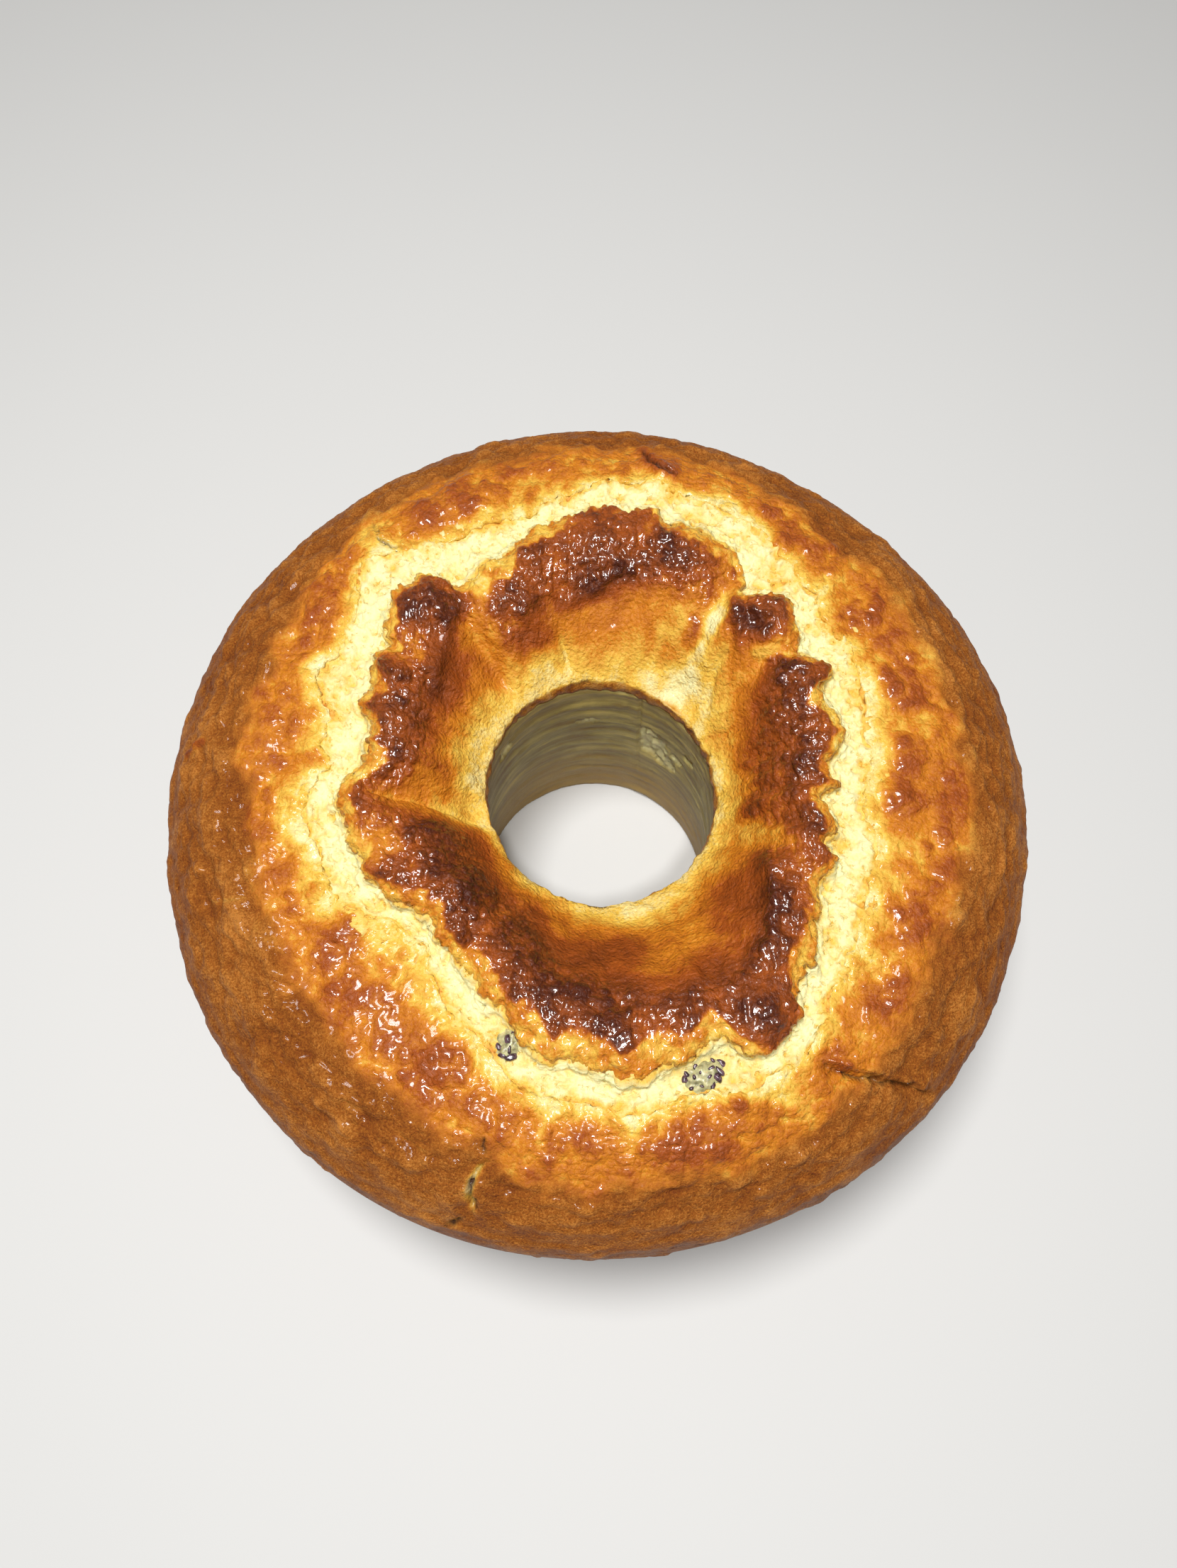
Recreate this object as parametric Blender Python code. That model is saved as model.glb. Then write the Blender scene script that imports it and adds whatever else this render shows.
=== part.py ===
"""Ring pound cake, baked in a tube pan and stood crust side up.

The origin is on the table under the middle of the cake, +Z up. Lengths in the tables are
millimetres and angles are degrees, counted from +X towards +Y.
"""

import math

import bmesh
import bpy
import numpy as np
from mathutils import Matrix, Vector, noise

MM = 0.001

# Driving sizes of the ring, in millimetres.
SIDE_RADIUS = 125.0
BASE_RADIUS = 117.5
SIDE_HEIGHT = 70.4
SHOULDER_RADIUS = 103.0
RIM_RADIUS = 33.4
RIM_HEIGHT = 82.0
RIM_CENTRE = (1.2, 0.8)
FOOT_RADIUS = 37.0
FOOT_CENTRE = (0.0, -4.0)
BASE_ROUNDING = 3.0
SIDE_BULGE = 2.0
RIM_SLOPE = (-0.085, 0.065)
RIM_ROUNDING = 2.6

# How finely the ring is cut, and the circle that its outline is first drawn as.
ANGLE_STEPS = 156
DRAWN_CENTRE = 0.08
DRAWN_RADIUS = 0.03

# Height of the top against its station: 0 the rim of the hole, 1 and 2 the two lips of the
# crack, 3 the start of the shoulder, 4 the edge of the side wall.
TOP_CURVE = (
    (0.0, 82.0), (0.1, 85.0), (0.3, 93.0), (0.5, 100.6), (0.65, 104.8), (0.8, 106.6), (0.94, 106.4),
    (1.0, 105.2), (1.1, 102.6), (1.4, 100.9), (1.7, 101.0), (2.0, 101.2), (2.4, 100.4), (3.0, 97.7),
    (3.24, 95.3), (3.55, 90.8), (3.8, 84.8), (3.95, 77.9), (4.0, 70.4),
)
TOP_STATIONS = (
    0.0, 0.07, 0.16, 0.28, 0.4, 0.52, 0.64, 0.76, 0.88, 0.96, 1.02, 1.16, 1.5, 1.84, 2.06, 2.35,
    2.68, 3.0, 3.22, 3.42, 3.6, 3.76, 3.89, 3.97,
)

# The crack that opened as the cake rose: angle, radius of its inner lip, radius of its outer lip.
CRACK = (
    (0, 62, 72), (12, 66, 77), (25, 69, 79), (34, 67, 79), (44, 72, 84), (52, 70, 85), (60, 76, 91),
    (70, 78, 92), (80, 80, 93), (90, 79, 91), (101, 76, 86), (112, 70, 82), (124, 69, 83),
    (134, 76, 91), (143, 75, 89), (151, 69, 82), (163, 66, 81), (174, 62, 75), (182, 62, 74),
    (191, 69, 79), (201, 69, 78), (211, 67, 76), (221, 62, 69), (233, 64, 71), (244, 67, 77),
    (256, 74, 86), (266, 79, 89), (276, 82, 91), (292, 79, 91), (301, 84, 92), (310, 80, 89),
    (321, 73, 84), (334, 67, 78), (349, 62, 75),
)

# Raised lumps of crust: angle, radius, half length round the ring, half width across it, height.
INNER_LUMPS = (
    (9, 56, 9, 9, 1.6), (24, 60, 8, 9, 2.6), (44, 64, 7, 8, 2.6), (59, 52, 4, 3, 0.8),
    (72, 67, 9, 8, 2.0), (90, 66, 13, 11, 2.2), (108, 63, 7, 8, 1.6), (114, 54, 7, 5, 1.5),
    (137, 67, 8, 9, 2.8), (148, 55, 8, 4, 1.2), (156, 62, 4, 7, 1.6), (169, 57, 10, 8, 1.9),
    (193, 64, 6, 5, 1.2), (208, 47, 11, 11, 3.2), (209, 64, 5, 5, 1.2), (228, 49, 9, 9, 2.8),
    (235, 61, 5, 5, 1.0), (254, 59, 6, 9, 1.8), (264, 63, 9, 8, 2.0), (274, 72, 8, 8, 2.2),
    (290, 71, 8, 7, 1.4), (303, 76, 7, 9, 2.6), (312, 68, 6, 6, 1.8), (321, 60, 7, 5, 1.8),
    (330, 53, 6, 4, 1.4), (345, 58, 6, 6, 1.5), (350, 43, 4, 4, 0.9),
)
OUTER_LUMPS = (
    (116, 95, 8, 8, 1.3), (124, 96, 5, 7, 1.1), (149, 93, 6, 6, 1.3), (172, 92, 12, 6, 0.8),
    (179, 78, 4, 5, 0.8), (216, 80, 6, 8, 1.5), (227, 86, 5, 5, 1.0), (244, 88, 8, 10, 1.5),
    (269, 97, 5, 5, 0.9), (287, 102, 11, 7, 1.4), (293, 95, 5, 5, 1.0), (325, 97, 8, 5, 1.1),
    (336, 92, 6, 5, 1.0), (355, 83, 6, 7, 1.3), (4, 86, 8, 8, 1.3), (18, 88, 6, 5, 1.0),
    (33, 93, 5, 8, 1.5), (54, 89, 5, 7, 1.3), (61, 99, 6, 8, 0.8), (80, 101, 4, 7, 1.2),
)
# Valleys that part the lumps: angle and radius of the inner end, of the outer end, half width, depth.
VALLEYS = (
    (34, 42, 34, 70, 4, 2.4), (51, 33, 60, 80, 5, 3.2), (66.5, 36, 66.5, 54, 3, 1.2),
    (103.5, 36, 103.5, 50, 3, 1.0), (134, 36, 126, 76, 5, 3.0), (196, 31, 188, 64, 5, 3.4),
    (239, 38, 239, 68, 4, 1.4), (289, 36, 289, 64, 5, 1.8), (340, 36, 344, 58, 6, 1.8),
)
# Unevenness of the side wall: turns round the ring, amount, angle of the first bulge.
SIDE_WAVES = ((2, 0.3, 92), (3, 0.4, 349), (5, 0.3, 20), (6, 0.2, 24))
LUMP_NOISE = 0.5
NOISE_LENGTH = 13.0

# Pulp of fruit that shows in the crack: angle, radius, half sizes along, across and up, turn.
FRUIT_BITS = {
    "fruit_bit_front": (289.0, 85.5, (6.2, 4.2, 3.4), 8.0, 9),
    "fruit_bit_left": (254.5, 77.5, (3.6, 5.4, 3.2), -8.0, 7),
}
BEAD_RADIUS = 1.25
FRUIT_RISE = 0.9
POCKET_GAP = 0.3

CRUST_BROWN = (0.36, 0.15, 0.035, 1.0)
FRUIT_GREY = (0.20, 0.17, 0.11, 1.0)


def clear_scene():
    for old in list(bpy.data.objects):
        bpy.data.objects.remove(old, do_unlink=True)


def material(name, colour, roughness):
    made = bpy.data.materials.new(name)
    made.use_nodes = True
    shader = made.node_tree.nodes["Principled BSDF"]
    shader.inputs["Base Color"].default_value = colour
    shader.inputs["Roughness"].default_value = roughness
    shader.inputs["Metallic"].default_value = 0.0
    made.diffuse_color = colour
    return made


def place(name, mesh, colour_material):
    made = bpy.data.objects.new(name, mesh)
    bpy.context.scene.collection.objects.link(made)
    if colour_material:
        mesh.materials.append(colour_material)
    return made


def smooth_curve(x, points):
    """Height at x of a smooth curve through the points, with slopes taken from the neighbours."""
    xs, ys = np.array(points, float).T
    slopes = np.gradient(ys, xs)
    i = np.clip(np.searchsorted(xs, x, side="right") - 1, 0, len(xs) - 2)
    width = xs[i + 1] - xs[i]
    t = np.clip((x - xs[i]) / width, 0.0, 1.0)
    return (
        (2 * t**3 - 3 * t**2 + 1) * ys[i]
        + (t**3 - 2 * t**2 + t) * width * slopes[i]
        + (3 * t**2 - 2 * t**3) * ys[i + 1]
        + (t**3 - t**2) * width * slopes[i + 1]
    )


def round_the_ring(angle, rows, column):
    """Value of one column of a table of angles, as a smooth curve that closes on itself."""
    first, last = rows[0], rows[-1]
    closed = [(last[0] - 360.0, last[column])]
    closed += [(row[0], row[column]) for row in rows]
    closed += [(first[0] + 360.0, first[column]), (rows[1][0] + 360.0, rows[1][column])]
    return smooth_curve(np.mod(angle, 360.0), closed)


def turn_between(angle, centre):
    """Signed angle from the centre, between -180 and 180."""
    return np.mod(angle - centre + 180.0, 360.0) - 180.0


def lumps(angle, radius, table):
    height = np.zeros_like(radius)
    for centre, middle, along, across, rise in table:
        u = np.radians(turn_between(angle, centre)) * middle / along
        v = (radius - middle) / across
        height += rise * np.exp(-1.4 * (u * u + v * v))
    return height


def valleys(angle, radius):
    depth = np.zeros_like(radius)
    for first_angle, first, last_angle, last, half_width, drop in VALLEYS:
        along = np.clip((radius - first) / (last - first), 0.0, 1.0)
        centre = first_angle + (last_angle - first_angle) * along
        u = np.radians(turn_between(angle, centre)) * radius / half_width
        inside = np.clip((radius - first) / 6.0, 0.0, 1.0) * np.clip((last - radius) / 8.0, 0.0, 1.0)
        depth += drop * inside * np.exp(-u * u)
    return depth


def wavy(points):
    """Soft unevenness of the crust at points given in millimetres."""
    return np.array([noise.noise(Vector(p) / NOISE_LENGTH) for p in points]) * LUMP_NOISE


def side_radius(angle):
    waves = sum(size * np.cos(np.radians(turns * (angle - peak))) for turns, size, peak in SIDE_WAVES)
    return SIDE_RADIUS + waves


def wall_ring(height):
    """Radius and middle of the hole's wall, which widens and shifts towards its foot."""
    share = np.clip(height / RIM_HEIGHT, 0.0, 1.0)
    x = FOOT_CENTRE[0] + (RIM_CENTRE[0] - FOOT_CENTRE[0]) * share
    y = FOOT_CENTRE[1] + (RIM_CENTRE[1] - FOOT_CENTRE[1]) * share
    return FOOT_RADIUS + (RIM_RADIUS - FOOT_RADIUS) * share, x, y


def hole_radius(height, angle):
    """Distance of the hole's wall from the Z axis."""
    wall, x, y = wall_ring(height)
    a = np.radians(angle)
    return wall + x * np.cos(a) + y * np.sin(a)


def top_point(station, angle):
    """Radius and height of the top of the cake."""
    inner = round_the_ring(angle, CRACK, 1)
    outer = round_the_ring(angle, CRACK, 2)
    shoulder = np.full_like(angle, SHOULDER_RADIUS)
    edges = np.stack([hole_radius(RIM_HEIGHT, angle), inner, outer, shoulder, side_radius(angle)])
    band = np.clip(np.floor(station).astype(int), 0, 3)
    column = np.arange(len(angle))
    radius = edges[band, column] + (station - band) * (edges[band + 1, column] - edges[band, column])
    height = smooth_curve(station, TOP_CURVE)
    height += lumps(angle, radius, INNER_LUMPS) + lumps(angle, radius, OUTER_LUMPS)
    height -= valleys(angle, radius)
    a = np.radians(angle)
    x, y = radius * np.cos(a), radius * np.sin(a)
    height += (RIM_SLOPE[0] * x + RIM_SLOPE[1] * y) * np.exp(-(((radius - RIM_RADIUS) / 16.0) ** 2))
    return radius, height + wavy(np.stack([x, y, height], 1)) * np.clip(4.0 - station, 0.0, 1.0)


def side_points(angle):
    """Outer wall from its edge down to the base, as radius and height."""
    edge = side_radius(angle)
    foot = BASE_RADIUS / SIDE_RADIUS * edge
    for share in (0.0, 0.1, 0.3, 0.6, 0.96):
        height = SIDE_HEIGHT * (1.0 - share)
        bulge = SIDE_BULGE * math.sin(math.pi * share)
        yield edge + (foot - edge) * share + bulge, np.full_like(angle, height)
    yield foot - BASE_ROUNDING, np.zeros_like(angle)


def base_and_hole_points(angle):
    """Flat base from the outside in, then the hole's wall up to just under its sloping rim."""
    level = np.ones_like(angle)
    foot = hole_radius(0.0 * level, angle)
    yield (foot + BASE_RADIUS) / 2, 0.0 * level
    yield foot + BASE_ROUNDING / 2, 0.0 * level
    a = np.radians(angle)
    slope = (RIM_SLOPE[0] * np.cos(a) + RIM_SLOPE[1] * np.sin(a)) * RIM_RADIUS
    for share in (BASE_ROUNDING / 2 / RIM_HEIGHT, 0.3, 0.62, 0.9, 1.0 - RIM_ROUNDING / RIM_HEIGHT):
        height = share * RIM_HEIGHT * level
        yield hole_radius(height, angle), height + slope * share**2


def section(angle):
    """Every point of the ring's outline at each angle, rim first, then out, down and back in."""
    rows = [top_point(np.full_like(angle, station), angle) for station in TOP_STATIONS]
    rows += list(side_points(angle))
    rows += list(base_and_hole_points(angle))
    return np.stack([row[0] for row in rows]), np.stack([row[1] for row in rows])


def cake_mesh():
    """Spins a closed outline round the Z axis, then moves its points to the uneven form."""
    angle = np.arange(ANGLE_STEPS) * 360.0 / ANGLE_STEPS
    radius, height = section(angle)
    count = len(radius)
    build = bmesh.new()
    outline = []
    for k in range(count):
        turn = 2.0 * math.pi * k / count
        x, z = DRAWN_CENTRE + DRAWN_RADIUS * math.cos(turn), DRAWN_RADIUS * math.sin(turn)
        outline.append(build.verts.new((x, 0.0, z)))
    edges = [build.edges.new((outline[k], outline[(k + 1) % count])) for k in range(count)]
    bmesh.ops.spin(
        build, geom=outline + edges, cent=(0, 0, 0), axis=(0, 0, 1), angle=2 * math.pi,
        steps=ANGLE_STEPS, use_merge=True,
    )
    for vert in build.verts:
        round_z = math.atan2(vert.co.y, vert.co.x)
        round_outline = math.atan2(vert.co.z, math.hypot(vert.co.x, vert.co.y) - DRAWN_CENTRE)
        column = round(round_z * ANGLE_STEPS / (2 * math.pi)) % ANGLE_STEPS
        row = round(round_outline * count / (2 * math.pi)) % count
        a = math.radians(angle[column])
        r = radius[row, column]
        vert.co = Vector((r * math.cos(a), r * math.sin(a), height[row, column])) * MM
    middle = Vector((0.0, 0.0, 0.0))
    for axis in (0, 1):
        places = [vert.co[axis] for vert in build.verts]
        middle[axis] = (max(places) + min(places)) / 2
    bmesh.ops.translate(build, verts=build.verts, vec=-middle)
    bmesh.ops.recalc_face_normals(build, faces=build.faces)
    mesh = bpy.data.meshes.new("cake")
    build.to_mesh(mesh)
    build.free()
    mesh.shade_smooth()
    return mesh, -middle


def surface_place(angle, radius, shift):
    """Point of the top at an angle and a radius, and the way the surface faces there."""
    def at(step_angle, step_radius):
        a = np.array([angle + step_angle])
        low, high = 0.0, 4.0
        for _ in range(30):
            middle = (low + high) / 2
            found, height = top_point(np.array([middle]), a)
            if found[0] < radius + step_radius:
                low = middle
            else:
                high = middle
        turn = math.radians(a[0])
        return Vector((found[0] * math.cos(turn), found[0] * math.sin(turn), height[0])) * MM
    here = at(0, 0)
    around = at(3, 0) - at(-3, 0)
    across = at(0, 4) - at(0, -4)
    return here + shift, across.cross(around).normalized()


def bead_places(half_sizes, count):
    """Beads spread over the upper face of the pulp, by the golden angle."""
    for k in range(count):
        away = 0.92 * math.sqrt((k + 0.5) / count)
        turn = 2.39996 * k
        x, y = away * math.cos(turn), away * math.sin(turn)
        up = math.sqrt(max(0.0, 1.0 - away * away))
        yield Vector((x * half_sizes[0], y * half_sizes[1], up * half_sizes[2])) * MM


def add_fruit_bit(name, place_on_cake, cake, shift, colour_material):
    """Pulp with beads on it, sunk in its own pocket in the crumb."""
    angle, radius, half_sizes, turn, beads = place_on_cake
    point, normal = surface_place(angle, radius, shift)
    across = Vector((math.cos(math.radians(angle)), math.sin(math.radians(angle)), 0.0))
    along = normal.cross(across).normalized()
    axes = Matrix((along, normal.cross(along), normal)).transposed().to_4x4()
    centre = point - normal * (half_sizes[2] - FRUIT_RISE) * MM
    where = Matrix.Translation(centre) @ axes @ Matrix.Rotation(math.radians(turn), 4, "Z")

    def blob(label, subdivisions, sizes, offset):
        build = bmesh.new()
        bmesh.ops.create_icosphere(build, subdivisions=subdivisions, radius=MM)
        bmesh.ops.scale(build, verts=build.verts, vec=sizes)
        bmesh.ops.translate(build, verts=build.verts, vec=offset)
        mesh = bpy.data.meshes.new(label)
        build.to_mesh(mesh)
        build.free()
        mesh.shade_smooth()
        return mesh

    body = place(name, blob(name, 2, half_sizes, (0, 0, 0)), colour_material)
    body.matrix_world = where
    group = bpy.data.collections.new(name + "_beads")
    bpy.context.scene.collection.children.link(group)
    for k, offset in enumerate(bead_places(half_sizes, beads)):
        bead = bpy.data.objects.new(
            f"{name}_bead_{k}", blob(f"{name}_bead_{k}", 2, (BEAD_RADIUS,) * 3, offset * 0.9)
        )
        group.objects.link(bead)
        bead.matrix_world = where
        bead.hide_render = True
        bead.display_type = "WIRE"
    joined = body.modifiers.new("beads", "BOOLEAN")
    joined.operation = "UNION"
    joined.operand_type = "COLLECTION"
    joined.collection = group
    joined.solver = "EXACT"

    margin = BEAD_RADIUS * 0.75 + POCKET_GAP
    pocket_sizes = tuple(size + margin for size in half_sizes)
    pocket = place(name + "_pocket", blob(name + "_pocket", 2, pocket_sizes, (0, 0, 0)), None)
    pocket.matrix_world = where
    pocket.hide_render = True
    pocket.display_type = "WIRE"
    cut = cake.modifiers.new(name + "_pocket", "BOOLEAN")
    cut.operation = "DIFFERENCE"
    cut.object = pocket
    cut.solver = "EXACT"


def main():
    clear_scene()
    crust = material("crust", CRUST_BROWN, 0.45)
    fruit = material("fruit", FRUIT_GREY, 0.4)
    mesh, shift = cake_mesh()
    cake = place("cake", mesh, crust)
    for name, place_on_cake in FRUIT_BITS.items():
        add_fruit_bit(name, place_on_cake, cake, shift, fruit)


main()
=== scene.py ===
"""Ring pound cake: the fine crust, crumb and fruit that are laid over its solids, and their finishes.

The file is laid out as a Blender add-on and is run as a script. Lengths in the tables are
millimetres and angles are degrees, counted from +X towards +Y.
"""

import math

import bmesh
import bpy
import numpy as np
from mathutils import Matrix, Vector


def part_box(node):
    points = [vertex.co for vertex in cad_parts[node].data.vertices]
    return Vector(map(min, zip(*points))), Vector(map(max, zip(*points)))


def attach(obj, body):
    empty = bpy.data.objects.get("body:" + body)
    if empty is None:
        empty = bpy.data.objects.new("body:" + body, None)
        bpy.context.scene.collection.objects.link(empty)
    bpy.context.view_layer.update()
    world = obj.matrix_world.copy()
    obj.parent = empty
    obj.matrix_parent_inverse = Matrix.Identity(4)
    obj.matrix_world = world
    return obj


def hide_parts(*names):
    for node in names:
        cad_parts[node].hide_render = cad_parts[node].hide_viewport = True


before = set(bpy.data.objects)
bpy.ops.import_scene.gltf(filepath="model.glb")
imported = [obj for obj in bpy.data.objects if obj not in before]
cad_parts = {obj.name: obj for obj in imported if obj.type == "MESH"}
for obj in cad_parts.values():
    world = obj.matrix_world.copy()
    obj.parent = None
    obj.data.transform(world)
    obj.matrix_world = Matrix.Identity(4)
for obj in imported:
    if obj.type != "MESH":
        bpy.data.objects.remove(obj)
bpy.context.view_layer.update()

bl_info = {
    "name": "Ring pound cake",
    "version": (1, 0, 0),
    "blender": (4, 5, 0),
    "location": "View3D > Sidebar > Cake",
    "description": "Makes a ring pound cake with a cracked, glossy brown top",
    "category": "Add Mesh",
}

MM = 0.001

# The form of the solid, as the part has it.
SIDE_RADIUS = 125.0
BASE_RADIUS = 117.5
SIDE_HEIGHT = 70.4
SHOULDER_RADIUS = 103.0
RIM_RADIUS = 33.4
RIM_HEIGHT = 82.0
RIM_CENTRE = (1.2, 0.8)
FOOT_RADIUS = 37.0
FOOT_CENTRE = (0.0, -4.0)
BASE_ROUNDING = 3.0
SIDE_BULGE = 2.0
RIM_SLOPE = (-0.085, 0.065)
RING_SHIFT = (-0.28, -0.51)

# Height of the top against its station: 0 the rim of the hole, 1 and 2 the two lips of the
# crack, 3 the start of the shoulder, 4 the edge of the side wall.
TOP_CURVE = (
    (0.0, 82.0), (0.1, 85.0), (0.3, 93.0), (0.5, 100.6), (0.65, 104.8), (0.8, 106.6), (0.94, 106.4),
    (1.0, 105.2), (1.1, 102.6), (1.4, 100.9), (1.7, 101.0), (2.0, 101.2), (2.4, 100.4), (3.0, 97.7),
    (3.24, 95.3), (3.55, 90.8), (3.8, 84.8), (3.95, 77.9), (4.0, 70.4),
)
# Height of the torn crumb, which runs on under both lips.
CRUMB_CURVE = (
    (0.8, 103.4), (0.94, 103.2), (1.02, 103.0), (1.12, 102.2), (1.4, 100.9), (1.7, 101.0), (2.0, 101.0),
    (2.1, 100.6), (2.4, 98.4),
)

# The crack that opened as the cake rose: angle, radius of its inner lip, radius of its outer lip.
CRACK = (
    (0, 61, 72), (5, 64, 75), (10, 66, 76), (17, 65, 77), (21, 66, 78), (25, 69.5, 79), (28, 66.5, 79),
    (32, 66, 78), (36, 68, 79), (40, 70, 81), (45, 72.5, 84), (49, 68, 84), (52, 66, 84), (56, 71, 87),
    (60, 76, 90), (65, 76, 92), (70, 79, 92), (75, 77.5, 91), (80, 81, 92), (85, 79.5, 92),
    (90, 79.5, 91), (95, 79, 89), (100, 76, 86), (105, 75, 83), (110, 72, 82), (115, 68.5, 82),
    (120, 69.5, 83), (125, 68, 83), (128, 69, 85), (132, 76, 90), (136, 76.5, 92), (142, 76, 90),
    (146, 72, 85), (150, 67.5, 82), (154, 70, 80), (158, 67, 80), (162, 65, 83), (166, 68, 80),
    (170, 63, 75), (175, 62, 75), (180, 61, 74), (185, 66, 75), (190, 69, 80), (195, 68, 80),
    (200, 70, 78), (204, 67.5, 77), (208, 68.5, 77), (212, 66, 76), (217, 65, 72), (221, 61.5, 68),
    (226, 61, 67), (233, 64, 70), (240, 64, 74), (246, 68, 78), (252, 70, 82), (256, 75, 86),
    (262, 79, 88), (268, 78, 88), (275, 83, 91), (282, 80, 91), (290, 80, 91), (294, 78.5, 92),
    (298, 85, 92), (304, 84.5, 91), (308, 82.5, 90), (311, 79, 89), (315, 77, 87), (320, 74, 84),
    (323, 70.5, 83), (327, 68, 79), (331, 66, 78), (337, 67, 77), (341, 62.5, 76), (345, 65, 77),
    (349, 62, 73), (352, 60, 71), (356, 63, 72),
)

# Raised lumps of crust: angle, radius, half length round the ring, half width across it, height.
INNER_LUMPS = (
    (9, 56, 9, 9, 1.6), (24, 60, 8, 9, 2.6), (44, 64, 7, 8, 2.6), (59, 52, 4, 3, 0.8),
    (72, 67, 9, 8, 2.0), (90, 66, 13, 11, 2.2), (108, 63, 7, 8, 1.6), (114, 54, 7, 5, 1.5),
    (137, 67, 8, 9, 2.8), (148, 55, 8, 4, 1.2), (156, 62, 4, 7, 1.6), (169, 57, 10, 8, 1.9),
    (193, 64, 6, 5, 1.2), (208, 47, 11, 11, 3.2), (209, 64, 5, 5, 1.2), (228, 49, 9, 9, 2.8),
    (235, 61, 5, 5, 1.0), (254, 59, 6, 9, 1.8), (264, 63, 9, 8, 2.0), (274, 72, 8, 8, 2.2),
    (290, 71, 8, 7, 1.4), (303, 76, 7, 9, 2.6), (312, 68, 6, 6, 1.8), (321, 60, 7, 5, 1.8),
    (330, 53, 6, 4, 1.4), (345, 58, 6, 6, 1.5), (350, 43, 4, 4, 0.9),
)
OUTER_LUMPS = (
    (116, 95, 8, 8, 1.3), (124, 96, 5, 7, 1.1), (149, 93, 6, 6, 1.3), (172, 92, 12, 6, 0.8),
    (179, 78, 4, 5, 0.8), (216, 80, 6, 8, 1.5), (227, 86, 5, 5, 1.0), (244, 88, 8, 10, 1.5),
    (269, 97, 5, 5, 0.9), (287, 102, 11, 7, 1.4), (293, 95, 5, 5, 1.0), (325, 97, 8, 5, 1.1),
    (336, 92, 6, 5, 1.0), (355, 83, 6, 7, 1.3), (4, 86, 8, 8, 1.3), (18, 88, 6, 5, 1.0),
    (33, 93, 5, 8, 1.5), (54, 89, 5, 7, 1.3), (61, 99, 6, 8, 0.8), (80, 101, 4, 7, 1.2),
)
# Valleys that part the lumps: angle and radius of the inner end, of the outer end, half width, depth.
VALLEYS = (
    (34, 42, 34, 70, 4, 2.4), (51, 33, 60, 80, 5, 3.2), (66.5, 36, 66.5, 54, 3, 1.2),
    (103.5, 36, 103.5, 50, 3, 1.0), (134, 36, 126, 76, 5, 3.0), (196, 31, 188, 64, 5, 3.4),
    (239, 38, 239, 68, 4, 1.4), (289, 36, 289, 64, 5, 1.8), (340, 36, 344, 58, 6, 1.8),
)
# Waves of the side wall: number round the ring, height, angle of a crest.
SIDE_WAVES = ((2, 0.3, 92), (3, 0.4, 349), (5, 0.3, 20), (6, 0.2, 24))

# Where the smooth slope of the hole turns into wrinkled skin: angle, radius.
WRINKLES_START = (
    (0, 40), (12, 42), (22, 48), (30, 54), (45, 56), (60, 50), (75, 57), (95, 54), (110, 50),
    (125, 46), (140, 59), (150, 53), (165, 48), (180, 46), (192, 56), (203, 42), (230, 42),
    (245, 42), (256, 50), (270, 57), (290, 63), (305, 64), (318, 58), (332, 49), (345, 42),
)
# Where the glossy outer crust turns matt and fine-grained: angle, radius.
MATT_START = (
    (0, 101), (20, 100), (40, 101), (60, 104), (80, 107), (105, 106), (130, 105), (150, 100),
    (170, 97), (190, 96), (210, 97), (230, 99), (250, 102), (262, 107), (280, 109), (300, 109),
    (312, 105), (325, 101), (345, 100),
)

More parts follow.
